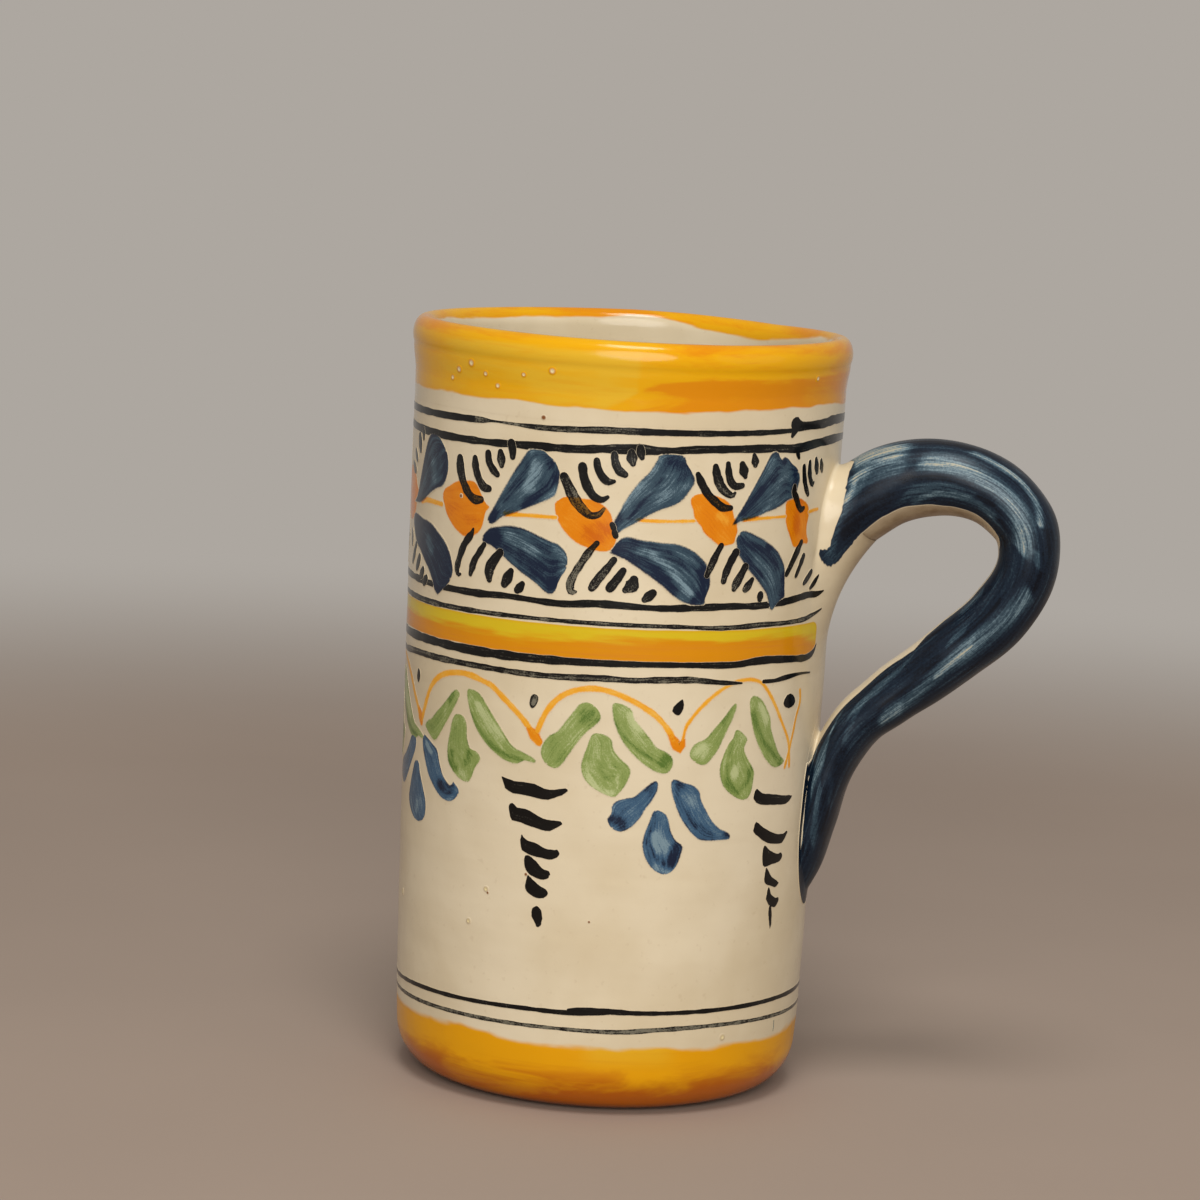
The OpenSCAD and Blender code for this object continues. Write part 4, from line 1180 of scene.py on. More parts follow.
# The leaves of one arch or of one blue group
PARTS = ("left", "drop", "right")
GREEN = {
    "left1": points("-46.2 73.5, -44.8 72.7, -45.8 71.2, -47.7 69.1, -50 67, -52.3 65, -54.6 63.3, -56.2 63.3, "
                    "-58.5 64.2, -60 65, -60.6 65.7, -58.8 66.8, -57.3 67.2, -54.6 68.8, -51.5 70.6, -49.2 72.2, "
                    "-47.7 73.2"),
    "drop1": points("-46.2 69.1, -43.5 69.1, -42.1 68.3, -41.5 67, -41.3 65.2, -40 63.4, -38.5 63.4, -36.5 62.5, "
                    "-36.7 61.6, -38.1 60.3, -39.2 58.5, -40.4 57.5, -42.3 57.4, -44.6 57.8, -46.9 58.8, -48.8 60.1, "
                    "-49.4 61.9, -49.2 63.7, -48.5 65.7, -47.7 67.8"),
    "right1": points("-42.1 74, -39.6 74.1, -37.3 73.5, -35.4 72.2, -33.1 70.4, -30.8 68.6, -28.5 66.8, -26.2 65.2, "
                     "-23.1 64.5, -20 63.6, -19.6 63, -20.4 62.6, -23.1 62.8, -25.4 62, -28.5 62.3, -31.5 63.2, "
                     "-34.6 64.5, -37.7 66.5, -40 68.6, -41.5 70.9, -42.3 72.7"),
    "left2": points("-7 74.4, -4.7 73.8, -3 72.5, -2.8 71.2, -4.3 70.1, -6.6 68.7, -8.9 66.6, -10.8 64.5, "
                    "-12.4 62.9, -13.9 62.1, -16.2 62.5, -17.8 63.5, -18.6 64.8, -18.2 66.3, -16.6 67.9, -14.3 68.9, "
                    "-12 71, -10.1 72.8, -8.9 73.9"),
    "drop2": points("-4.3 69, -2 69, -0.1 68.4, 0.7 67.6, 1.1 66.3, 3 64.8, 5.3 63.5, 5.9 62.5, 4.9 60.4, 3.4 58.9, "
                    "1.8 57.8, -0.5 58.1, -3.2 58.9, -5.5 59.9, -7 61.2, -7.6 62.7, -7.2 64.5, -6.2 66.6, -5.3 68.4"),
    "right2": points("-0.1 74.3, 1.8 74.6, 4.5 73.9, 5.7 73, 5.9 72, 8 70.5, 10.3 68.7, 12.6 66.9, 14.9 66.3, "
                     "16.7 65.3, 17 64, 16.1 62.7, 14.2 62.2, 11.5 62.7, 8.4 64, 5.3 65.8, 3 67.6, 1.1 69.9, 0.1 72"),
    "left3": points("34.4 74.6, 34.8 73.7, 33.7 71.6, 31.9 69.2, 29.7 66.2, 27.9 64.7, 26.1 63.7, 23.8 64, "
                    "21.6 65.15, 21.2 66.2, 22.1 67.4, 23.6 68, 25.6 68.6, 28.3 70.55, 31 72.5, 33.2 74.3"),
    "drop3": points("34.6 69.65, 35.9 69.8, 38.2 68.75, 39.2 67.85, 38.2 66.5, 39.5 64.7, 41.3 63.2, 42.4 62, "
                    "42.3 60.2, 41.8 58.4, 40.4 57.2, 38.2 57.1, 35.5 57.8, 32.4 59.3, 30.8 61.1, 30.3 62.9, 31 65, "
                    "32.4 67.1, 33.9 68.3"),
    "right3": points("38.8 74.9, 40.4 75.8, 43.1 75.05, 45.3 73.4, 47.3 71.3, 47.6 69.8, 49.4 67.4, 51.6 65, "
                     "54.3 63.5, 54.5 63.05, 52.9 62.45, 50.7 62.1, 48 62.75, 45.3 64.4, 42.6 66.8, 40.4 69.8, "
                     "39.1 72.8"),
}
BLUE = {
    "left1": points("-70.8 62.4, -69.2 62.9, -66.5 62.4, -66.5 60.6, -68.5 58.5, -72.3 55.4, -76.2 53.1, -80 52.9, "
                    "-83 54.3, -82 56.5, -80 57.5, -76.2 58.8, -73.1 60.6"),
    "drop1": points("-65.8 58.5, -63.8 58.3, -62.7 56.5, -60.8 54.4, -58.9 52, -58.8 49.6, -60.5 48.2, -63.5 47.6, "
                    "-67 48, -70 49.4, -71.4 51, -70.8 52.6, -69.2 55.2, -67.3 57.8"),
    "right1": points("-61.2 63.7, -60 63.7, -56.9 62.9, -53.8 61.9, -53.1 60.8, -52.3 59.6, -50.8 57.8, -48.5 56.5, "
                     "-46.9 56.2, -46.3 57, -45.4 56.7, -43.8 55.7, -44.2 54.7, -46.2 53.4, -48.5 53, -51.5 53.4, "
                     "-54.6 54.7, -57.7 56.5, -60 58.8, -61.5 60.8, -62.1 62.4"),
    "left3": points("12.2 61.1, 13.2 60.7, 13.3 59.4, 12.2 57.6, 10.3 55.8, 8.8 54, 6.5 52.4, 4.2 51.7, 1.8 52.2, "
                    "0.5 53.2, 0.1 54.1, 1.1 55.1, 1.1 56.3, 2.2 57.3, 4.5 57.8, 6.8 58.2, 9.2 59.6, 11.1 60.7"),
    "drop3": points("12.2 55.5, 13.8 55.8, 15.9 55.1, 16.8 54, 17.6 52.2, 19.2 50.4, 21.1 49.6, 21.3 48.8, "
                    "20.5 46.8, 19.2 45.2, 16.8 44.3, 14.2 44.7, 11.8 46, 10.3 47.8, 9.7 49.6, 10.1 51.6, 11.1 53.5"),
    "right3": points("16.7 60.9, 18 61.4, 20.3 60.8, 23 60.3, 25.1 59.1, 25.7 57.6, 27.6 55.5, 29.5 53.7, 31.8 52.4, "
                     "34.5 51.6, 35.5 50.9, 34.9 50.1, 31.8 50, 28 50, 25.3 50.4, 22.6 51.9, 19.9 54.2, 18 56.8, "
                     "16.8 59.1"),
}
COLUMNS = {
    "two": [points("-29.3 59.5, -27.2 59.2, -24.3 59, -19.9 58.9, -17.5 58.4, -14.9 58.4, -11.6 58.8, -10.8 58.4, "
                   "-12.2 57.6, -14 57.1, -16.4 56.55, -18.7 56.7, -22.2 56.95, -26.1 57, -28.1 57.6, -28.8 58.7"),
            points("-26.7 54.35, -25.5 55.05, -24.3 54.35, -22.2 54.3, -19.9 53.75, -17.5 53.15, -15.2 52.95, "
                   "-12.4 52.95, -11.9 52.35, -13.4 51.7, -15.2 51.15, -17.5 51.2, -20.5 51.6, -23.1 51.9, "
                   "-25.5 52.1, -26.2 52.6"),
            points("-22.5 49.6, -21.1 48.8, -18.7 48.45, -16.4 47.85, -14 47.75, -12.8 47.8, -12.2 47.15, "
                   "-13.4 46.25, -15.2 46.05, -18.7 46.35, -20.8 46.65, -22.2 46.95, -22.9 48.25, -22.8 49.2"),
            points("-20.6 46.05, -19.6 45.8, -18.1 45, -16.4 44.1, -14.9 44, -14.4 43.3, -15.8 42.4, -18.7 42.7, "
                   "-20.5 43.3, -21.4 44.3, -21.5 45.65"),
            points("-20.2 42.5, -19 41.9, -17.5 41.05, -15.8 40.7, -14.7 40.05, -15.5 39.25, -17.2 39, -19.3 39.35, "
                   "-20.6 39.95, -20.9 40.75, -20.6 42.1"),
            points("-18.7 36.6, -17.6 37.1, -16.5 36.6, -16.1 35.4, -16.3 34.2, -17.2 33.8, -17.9 34.6, -18.7 35.5")],
    "four": [points("43.8 58.7, 46.2 57.8, 49.8 57.35, 54.3 56.9, 58.8 56.6, 59.9 56.2, 57 55.25, 52.9 55.4, "
                    "48.9 55.7, 45.3 56, 43.3 56.75, 42.9 57.5"),
             points("44.4 52.7, 47.1 51.65, 49.8 50.75, 53.4 50, 56.5 49.85, 58.1 50.15, 58.7 49.7, 56.5 48.3, "
                    "53.4 48.35, 49.8 48.8, 46.7 49.7, 43.8 50.9, 43.9 51.65"),
             points("48.7 48.05, 51.2 47, 54.3 46.25, 56.1 46.4, 57.1 45.65, 55.6 44.85, 52.5 44.75, 48.9 44.45, "
                    "48.2 45.8, 48 46.55"),
             points("50.2 43.8, 52.5 42.2, 55.2 41.3, 56.2 40.85, 54.7 40.3, 52 40.85, 49.8 41.45, 49.6 42.5"),
             points("51.8 40.25, 53.4 38.75, 55.2 38.15, 56.5 38.1, 56.9 37.55, 55.2 36.65, 52.9 37.1, 51.2 38.15, "
                    "51.1 38.9"),
             points("52.6 36.5, 53.5 36.7, 54 35.4, 54.3 33.6, 53.7 32.9, 53.1 34.2, 52.6 35.4")],
}
# How loaded each stroke is, and its darker and paler places: a line, then its half width in mm and its amount
TONES = {
    "p1": (0.68, "-61.5 112.7, -60.7 109.9: 1.2 -0.4; -55.6 113.8, -54.8 110.3: 0.8 0.2; -73.5 105.4, "
                 "-69.4 104.9: 1 0.2"),
    "q1": (0.85, "-62.7 98.6, -60.7 97.2: 1.3 -0.45"),
    "p2": (0.42, "-22.8 115.5, -23.8 113.3, -25.3 111.1: 1.3 -0.42; -23.4 116.5, -20.6 115.9, -18.4 114.7, "
                 "-17.4 112.7: 0.9 0.3; -18.8 112.9, -20.3 111.4, -22.4 109.9, -26.3 107.6: 0.9 0.4; -25.5 113.9, "
                 "-28.8 110.9, -32.3 107.9: 0.5 0.3; -35.3 105.5, -36.5 104.4: 1.3 0.5; -17.6 110.6, "
                 "-20.4 109: 0.9 -0.25; -25.7 116.3, -26.8 115.2: 0.8 0.25"),
    "q2": (0.55, "-38.3 101.1, -35 102, -36.2 100.2: 1.6 0.5; -30.6 102, -25.8 101, -22.9 99.8: 1.1 -0.35; "
                 "-16.9 100.8, -14.6 99.2, -15 97.1: 0.9 -0.3; -26.8 98.8, -22.1 97.3, -19.2 95.8, "
                 "-17.5 94.2: 1.2 0.25; -18.5 93.4, -17 94.9: 1.2 0.3; -31.1 99.9, -26.8 98.1: 0.7 0.15"),
    "p3": (0.4, "8.5 117.6, 5 113.7, 0.4 109.2: 1.4 -0.2; 11.6 117.3, 16.4 116, 17.7 114: 1.1 0.3; 12.7 116.3, "
                "14.5 114.2: 1 0.2; 9.9 113.8, 6.5 111.1, 4.1 109.3, 1.8 107: 0.45 0.45; 12.1 111.8, "
                "9.2 110.3: 1 -0.25; -2.4 105.7, -1.2 106.7: 1 0.5; -1.5 104, -2.1 104.4: 0.8 0.4; 16.3 112.2, "
                "14.3 110.8, 10.3 108.9, 5.6 107.4: 0.6 0.2"),
    "q3": (0.5, "-1.8 100.9, 0.2 102, 3.2 102.5: 1.2 0.4; 1.4 99.6, 6.4 98.4, 10.4 96.7, 13.7 94.7: 1.5 0.3; "
                "8.5 100.5, 11.7 99.2, 15.1 96.8, 18.6 94: 0.8 -0.45; 4.8 101.1, 9 100.5: 0.6 -0.25; 21.5 97.9, "
                "22.9 95.8, 21.9 93.7, 20.4 92.7: 1.2 0.45; 12.1 101.3, 16.5 99.3, 19.4 96.9: 0.5 0.15; 7.3 101.9, "
                "12.1 101.3: 0.5 0.2"),
    "p4": (0.5, "41.1 117.1, 39.4 115, 38.2 113.6: 0.8 -0.35; 40.2 113.9, 36.6 111.2, 32.5 108.4: 0.9 0.4; "
                "45.1 114.5, 43.2 112.8: 1 -0.35; 45.5 117, 43.4 116, 41.6 113.9: 0.7 0.3; 48.6 116.9, 50.4 114, "
                "50 111.9: 0.8 0.3; 42.9 110.3, 39.2 109: 0.8 -0.2"),
    "q4": (0.55, "32.6 103.5, 35.9 102.4, 40.9 100.5, 44.9 98.2: 0.8 0.3; 38.2 99.8, 41.2 98, 43.8 95.5: 1.2 -0.3; "
                 "32.8 101.4, 35 99.6, 39.3 97: 0.9 0.25; 48.3 96, 48.4 93.1: 1 0.35; 45.4 101.8, 47.8 99.6: 0.5 -0.2"),
    "gleft1": (0.45, "-49 71.3, -47.8 72.5: 0.7 0.5; -56.4 65.4, -52.8 68.7: 1.2 0.15"),
    "gdrop1": (0.45, "-47.3 62.1, -47.9 59.9, -45.4 59.4: 0.8 0.45; -40.8 62.5, -41.4 61: 0.8 0.5; -46 66.2, "
                     "-45.9 64.8: 1.2 0.15; -43.4 58.2, -42.2 58: 1.5 -0.2"),
    "gright1": (0.42, "-42.2 70.9, -39.9 69, -36.9 66.8, -32.8 64.7, -28.3 63.3, -24.1 63: 0.55 0.45; -38 71.3, "
                      "-34.4 68.8, -30.4 66.3: 1 -0.35"),
    "gleft2": (0.42, "-6.2 71.6, -5.7 71.4: 1.9 0.38; -15.4 66.8, -13.1 64.5: 1.6 0.2"),
    "gdrop2": (0.42, "-2.4 63.6, -1.7 61.5, 0.4 60.9, 1.8 62.4, 1.2 64.1: 0.4 0.4; -1.2 67.6, -1.1 66.2: 1.4 0.12; "
                     "-6.1 63.3, -4.2 59.8, 0.6 58.3: 0.8 -0.3"),
    "gright2": (0.42, "5.7 72.4, 7.4 70.3: 1.2 -0.45; 0.6 71.2, 3.4 68.5, 7.3 66.4, 11.1 64.7, 13.9 63.7: 0.45 0.4; "
                      "15.1 64.8, 14.9 64.4: 1.4 0.55"),
    "gleft3": (0.45, "32.9 74.1, 30.7 71.3: 0.7 0.3; 24.2 66.1, 24.7 66.5: 1.5 -0.35"),
    "gdrop3": (0.45, "35.4 61.9, 35.6 62.3: 1.1 -0.5; 33 63.1, 33.3 60.2, 36.8 58.6, 40 60.3, 41.1 62.7: 0.7 0.4; "
                     "33.7 67.7, 33.3 65.4: 0.4 0.25"),
    "gright3": (0.45, "40.4 72.8, 42.2 69.8, 45.7 66.8, 50.3 64: 0.6 0.4; 43.2 73.7, 45.9 70.7: 0.8 -0.4; 52.2 63.1, "
                      "52.6 63.5: 0.8 0.3"),
    "bdrop1": (0.5, "-64.3 51.3, -64.8 49.4: 0.8 -0.4"),
    "bright1": (0.5,
                "-59.4 62.2, -57 61: 0.7 -0.5; -51.5 55.7, -47.1 55.3: 1.5 0.4; -44.7 55.6, -47.7 53.4: 0.6 -0.3"),
    "bleft3": (0.5, "1.5 54.2, 4.2 53.2: 1 0.4; 10.5 59.4, 11.5 60.5: 0.8 0.35; 6.6 55.4, 7.1 55.8: 1 -0.2"),
    "bdrop3": (0.45, "13.4 50.9, 15.8 49.1: 1.3 -0.4; 19.6 49.1, 18.2 46.6: 1.2 0.55; 11.7 52.3, 11.3 50.2, "
                     "13.2 47.7, 16 46.2: 0.45 0.35; 13.6 45.5, 17.9 44.4: 0.8 -0.2"),
    "bright3": (0.45, "18.5 60.5, 18.8 57.7, 21.9 55, 24.4 52.6: 0.5 0.3; 19.6 60.5, 19.9 60.1: 0.6 0.4; 22.7 57.6, "
                      "23.4 56.9: 1 -0.2; 25.5 52.9, 29.3 51: 0.8 0.25; 33.8 50.9, 35 51.2: 0.8 0.45"),
    "d1": (0.5, "-51.7 104.9, -43.5 103.8: 1.5 0.15"),
    "d2": (0.45, "-4.1 104.6, -8.2 103.6: 2 0.4; -9 107.5, -8.4 106.9: 1.2 -0.3"),
    "d3": (0.45, "25.5 107.7, 27.3 107: 0.8 -0.45; 21.3 107.9, 23 105.3: 1.2 0.2"),
    "d4": (0.5, "52.5 110, 51.8 104.7: 1.2 0.4"),
}
# The view angles round the back where two arches meet
GARLAND_BACK = (98.0, 137.5, 177.0, 217.0, 257.0, 296.0)


# ---- Pieces ----

# Millimetres from the glazed surface down to the clay's, and to the glaze's own back
CLAY_UNDER, GLAZE_DEEP = 0.45, 0.42


class PieceOperator:
    """What every piece's operator shares."""
    bl_options = {"REGISTER", "UNDO"}

    @staticmethod
    def parts(context):
        """The sizes and the colours that the panel shows."""
        return context.scene.mug_sizes, context.scene.mug_colours


class MUG_OT_clay_cup(PieceOperator, Operator):
    """Throw the cup of red clay, with its turned foot ring"""
    bl_idname = "mug.clay_cup"
    bl_label = "Clay Cup"

    def execute(self, context):
        sizes, colours = self.parts(context)
        cup = CupShape(sizes)
        ring = cup.foot_centre_r - 6
        profile = [(0.0, 1.0)] + [(r, 1.0 + 0.12 * math.sin(r * 1.3)) for r in (4, 7, 10, 13, 16)]
        profile += [(ring - 2.2, 1.0), (ring - 1.0, 0.75), (ring - 0.3, 0.25), (ring + 0.4, 0.03), (ring + 1.2, 0.0)]
        profile += [(cup.foot_centre_r, 0.0)] + cup.outside(0.15, 0.8, 0.05, 0.3)
        profile += cup.outside(1.0, cup.neck_z, CLAY_UNDER, 2.4) + cup.lip(CLAY_UNDER, 12)
        profile += cup.inside(cup.lip_centre_z, cup.floor_t + cup.well_round, CLAY_UNDER, 3.0) + cup.well(CLAY_UNDER)
        finish_piece(context, "clay_cup", spun(profile, 128), fired_clay(colours), ["clay_body"])
        return {"FINISHED"}


class MUG_OT_glaze(PieceOperator, Operator):
    """Dip the cup in white glaze, outside and inside"""
    bl_idname = "mug.glaze"
    bl_label = "White Glaze"

    def execute(self, context):
        sizes, colours = self.parts(context)
        cup = CupShape(sizes)
        outer = [(cup.outer_r(0.8, 0.3), 0.62)] + cup.outside(0.8, cup.lip_low_z) + cup.lip(0, 11, 90)
        back = cup.outside(0.95, cup.lip_low_z, GLAZE_DEEP) + cup.lip(GLAZE_DEEP, 11, 90)
        glaze = cream_glaze("white_glaze_outside", colours)
        finish_piece(context, "outer_glaze", spun(outer + back[::-1], 192), glaze, ["white_glaze"])
        inner = [cup.lip_point(90 + 90 * i / 9) for i in range(10)]
        inner += cup.inside(cup.lip_centre_z, cup.floor_t + cup.well_round) + cup.well()
        inner = [(r - 0.10 * math.sin(z * 0.9) * ease((124 - z) / 20) * ease((z - 12) / 8), z) for r, z in inner]
        under = [cup.lip_point(90 + 90 * i / 9, GLAZE_DEEP) for i in range(10)]
        under += cup.inside(cup.lip_centre_z, cup.floor_t + cup.well_round, GLAZE_DEEP) + cup.well(GLAZE_DEEP)
        bm = spun(inner + under[::-1], 160)
        finish_piece(context, "inside_glaze", bm, cream_glaze("white_glaze_inside", colours, 1.6),
                     ["inside_glaze"])
        return {"FINISHED"}


# By view angle: heights where the rim's yellow ends outside and inside, how loaded it is, and the foot band's top
RIM_EDGE = points("-180 126.4, -150 125.9, -115 126.2, -80 125.5, -60 125.8, -40 125.9, -26 125.9, -13 125.6, "
                  "0 125.5, 11 125.7, 21 125.9, 35 126.4, 50 126.8, 64 126.8, 90 126.3, 120 126, 150 126.7, 180 126.4")
RIM_INSIDE_EDGE = points("-180 136.9, -150 136.5, -120 136.4, -80 136.6, -40 137, 0 137, 40 137, 80 137, 112 136.9, "
                         "124 136.2, 136 135.2, 150 135, 162 136.2, 172 136.7, 180 136.9")
RIM_THICK = points("-180 0.5, -120 0.3, -80 0.5, -50 0.35, -28 0.3, -22 0.2, -6 0.15, -2 0.3, 8 0.5, 22 0.6, 45 0.6, "
                   "70 0.6, 110 0.5, 150 0.5, 180 0.5")
FOOT_EDGE = points("-180 13, -120 13.2, -80 13.4, -60 13.4, -40 13.7, -26 13.4, -13 12.9, 6 12.7, 11 13.3, 15 13.5, "
                   "19 13.3, 23 12.8, 60 12.8, 110 13.1, 180 13")
# Heights where the bands' paint starts or ends, before it fades out: outside and inside the lip, and over the foot
RIM_PAINT_LOW, RIM_PAINT_INSIDE, FOOT_PAINT_TOP = 123.2, 129.5, 16
# How far the back of that paint reaches into the glaze, and the radius of the lip's crest
PAINT_BACK, CREST_R = 0.2, 37.9


class MUG_OT_bands(PieceOperator, Operator):
    """Paint the broad bands at the rim, the middle and the foot"""
    bl_idname = "mug.bands"
    bl_label = "Bands"

    def execute(self, context):
        sizes, colours = self.parts(context)
        cup = CupShape(sizes)
        lift = sizes.paint_height / MM * 1.2
        # Over the lip, outside and inside
        profile, back = (cup.outside(RIM_PAINT_LOW, cup.lip_low_z, take, 0.7) + cup.lip(take, 26)
                         + cup.inside(cup.lip_centre_z, RIM_PAINT_INSIDE, take, 0.6) for take in (-lift, PAINT_BACK))
        bm = spun(profile + back[::-1], 240)
        self.measure(bm, self.rim_depth, self.rim_load)
        finish_piece(context, "rim_band_paint", bm, rim_yellow(colours), ["rim_band"])
        # Round the foot
        profile = [(cup.outer_r(0.7, PAINT_BACK), 0.6)] + cup.outside(0.75, FOOT_PAINT_TOP, -lift, 0.5)
        back = cup.outside(0.95, FOOT_PAINT_TOP, PAINT_BACK, 0.5)
        bm = spun(profile + back[::-1], 192)
        self.measure(bm, self.foot_depth, self.foot_load)
        finish_piece(context, "foot_band_paint", bm, foot_yellow(colours), ["foot_band"])
        self.middle_band(context, colours)
        return {"FINISHED"}

    @staticmethod
    def measure(bm, depth, load):
        new_sheet(bm)
        edge, ink = bm.verts.layers.float["edge"], bm.verts.layers.float["ink"]
        for vert in bm.verts:
            x, y, z = vert.co / MM
            angle = view_angle(math.degrees(math.atan2(y, x)))
            vert[edge] = depth(angle, math.hypot(x, y), z)
            vert[ink] = load(angle, z)

    @staticmethod
    def rim_depth(angle, radius, z):
        if radius > CREST_R:
            return z - along_table(RIM_EDGE, angle) - 0.25 * noise.noise(Vector((angle * 0.12, 3, 1)))
        return z - along_table(RIM_INSIDE_EDGE, angle) - 0.35 * noise.noise(Vector((angle * 0.09, 7, 1)))

    @staticmethod
    def rim_load(angle, z):
        load = along_table(RIM_THICK, angle)
        # The second coat lies below a slanting line on the right and leaves the top paler on the left
        line = along_table(points("-7 125.5, -5 127, -1 128, 3 130.4, 8 131.6, 20 132.4, 60 133"), angle)
        if -8 < angle < 110:
            load += 0.42 * ease((line - z) / 0.9) * ease((angle + 8) / 2) * ease((110 - angle) / 20) - 0.08
        if -65 < angle < 2:
            load -= 0.22 * ease((z - 128.5) / 1.5) * ease((angle + 65) / 20) * ease((137 - z) / 1.5)
        # The roll of the lip took a fuller load
        return load + 0.25 * ease((z - 135.5) / 1.5)

    @staticmethod
    def foot_depth(angle, _, z):
        return along_table(FOOT_EDGE, angle) - z

    @staticmethod
    def foot_load(angle, z):
        pale = ease((angle + 6) / 8) * ease((26 - angle) / 9)
        return 0.55 * pale * ease((z - 8) / 4)

    def middle_band(self, context, colours):
        brush = Brush(context, 1.4, 5)
        top = points("-80 87.3, -40 87.5, -20 87.6, 14 87.75, 60 87.7, 90 87.7, 150 87.5, 210 87.7, 280 87.3")
        low = points("-80 81.7, 0 81.7, 60 81.75, 90 81.7, 150 81.9, 210 81.6, 280 81.7")
        yellow = points("-80 84.6, -40 84.7, 0 85.3, 14 85.8, 30 85.8, 55 85.4, 61 84.7, 68.4 84, 90 84.3, 130 85.3, "
                        "180 84.7, 230 85.4, 280 84.6")
        first, last, tip = 89.2, 360 + 68.4, 4.2
        count = 300
        shares = [0, .03, .08, .16, .28, .4, .5, .6, .72, .84, .92, .97, 1]

        def where(i, j):
            if i < 12 or i > count - 12:
                near = min(i, count - i) / 12
                way_in = tip * (1 - math.cos(near * math.pi / 2))
                angle = first + way_in if i < 12 else last - way_in
                squeeze = math.sqrt(max(1 - (1 - near) ** 2, 0))
            else:
                squeeze = 1
                angle = first + tip + (last - first - 2 * tip) * (i - 12) / (count - 24)
            table_angle = angle if angle <= 280 else angle - 360
            high, base = along_table(top, table_angle), along_table(low, table_angle)
            high += 0.12 * noise.noise(Vector((angle * 0.11, 1, 4)))
            base += 0.12 * noise.noise(Vector((angle * 0.11, 9, 4)))
            middle = (high + base) / 2 - 0.2
            z = base + (high - base) * shares[j]
            z = middle + (z - middle) * squeeze
            edge = min(z - (middle + (base - middle) * squeeze), middle + (high - middle) * squeeze - z,
                       min(angle - first, last - angle) * MM_PER_DEGREE)
            values = {"across": z - along_table(yellow, table_angle), "edge": max(edge, 0)}
            return brush.surface.place(angle, z, brush.lift), values

        laid_grid(brush.bm, count, len(shares) - 1, where)
        piece = brush.finish(context, "middle_band_paint", band_paint(colours), "orange_enamel")
        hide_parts("middle_band")


class MUG_OT_handle(PieceOperator, Operator):
    """Pull the coil and fair its ends into the wall with slip"""
    bl_idname = "mug.handle"
    bl_label = "Handle"

    def execute(self, context):
        sizes, colours = self.parts(context)
        coil = CoilShape(sizes, CupShape(sizes))
        around, along = 64, 190
        past_wall, drawn_over = 0.12, 0.08

        def where(i, j):
            turn = i * 360 / around
            upper, lower = coil.seats(coil.upper, turn), coil.seats(coil.lower, turn)
            first, last = upper - past_wall, lower + past_wall
            u = first + (last - first) * (j / along)
            # Inside the flares the coil is drawn in a little, so that it stays below them
            hidden = max(ease((u - lower + coil.lower_climb(turn)) / drawn_over),
                         ease((upper + coil.upper_climb(turn) - u) / drawn_over))
            place = coil.on_coil(u, turn).lerp(Vector(coil.at(u)[:3]), 0.1 * hidden) * MM
            # Painted shade: the glaze below the coil's centreline is darkened through the layer "ink"
            return place, {"ink": 0.92 * ease((coil.at(u)[2] - place.z / MM) / coil.half * 1.3 - 0.15)}

        bm = new_sheet()
        laid_grid(bm, around, along, where)
        bmesh.ops.remove_doubles(bm, verts=bm.verts[:], dist=SEAM)
        bmesh.ops.holes_fill(bm, edges=[edge for edge in bm.edges if edge.is_boundary], sides=0)
        bmesh.ops.recalc_face_normals(bm, faces=bm.faces[:])
        glaze = cream_glaze("glaze_on_the_coil", colours, 1.3, scaled(colours.cream_shade, 0.86), thin=True)
        finish_piece(context, "coil", bm, glaze, ["handle"], 70)
        for name, node, low in (("upper_flare", "upper_luting", 0.0), ("lower_flare", "lower_luting", 2.0)):
            bm = new_sheet()
            flare_skin(bm, coil, low, MM)
            bmesh.ops.remove_doubles(bm, verts=bm.verts[:], dist=SEAM)
            bmesh.ops.recalc_face_normals(bm, faces=bm.faces[:])
            middles = [(face.normal, face.calc_center_median()) for face in bm.faces]
            if sum(normal.dot(Vector((at.x - 0.02, at.y, 0))) for normal, at in middles) < 0:
                bmesh.ops.reverse_faces(bm, faces=bm.faces[:])
            close_sheet(bm, FLARE_DEEP)
            glaze = cream_glaze("glaze_on_the_" + name, colours, 1.2, thin=True)
            finish_piece(context, name, bm, glaze, [node], 70)
        return {"FINISHED"}


# Millimetres for a degree round the coil, and for each flare where the paint's rows are shared out
COIL_MM_PER_DEGREE, FLARE_ROOM = 0.115, 30
# Where the blue begins and ends along the coil, by the share across the brush from the camera's side to the far side
PAINT_START = points("-1 0.22, -0.95 0.23, -0.86 0.5, -0.78 0.56, -0.7 0.64, -0.62 0.73, -0.45 0.75, -0.3 0.78, "
                     "-0.15 0.9, 0 0.72, 0.3 0.6, 0.5 0.7, 0.8 0.6, 1 0.75")
PAINT_END = points("-1 3, 0.4 2.98, 0.8 2.9, 1 2.85")
# How far round from the outer side the brush reached, in degrees, towards the camera and away from it
PAINT_NEAR = points("0.2 110, 0.41 125, 0.51 134, 0.65 137, 0.85 134, 1 131, 1.04 126, 1.09 128, 1.16 133, 1.2 132, "
                    "1.25 135, 1.29 138, 1.33 143, 1.4 158, 1.66 166, 1.7 160, 1.705 146, 1.72 148, 1.78 152, "
                    "1.84 146, 1.92 139, 2 144, 2.4 146, 3 140")
PAINT_FAR = points("0.4 140, 1 132, 1.4 140, 1.8 138, 2 130, 3 118")
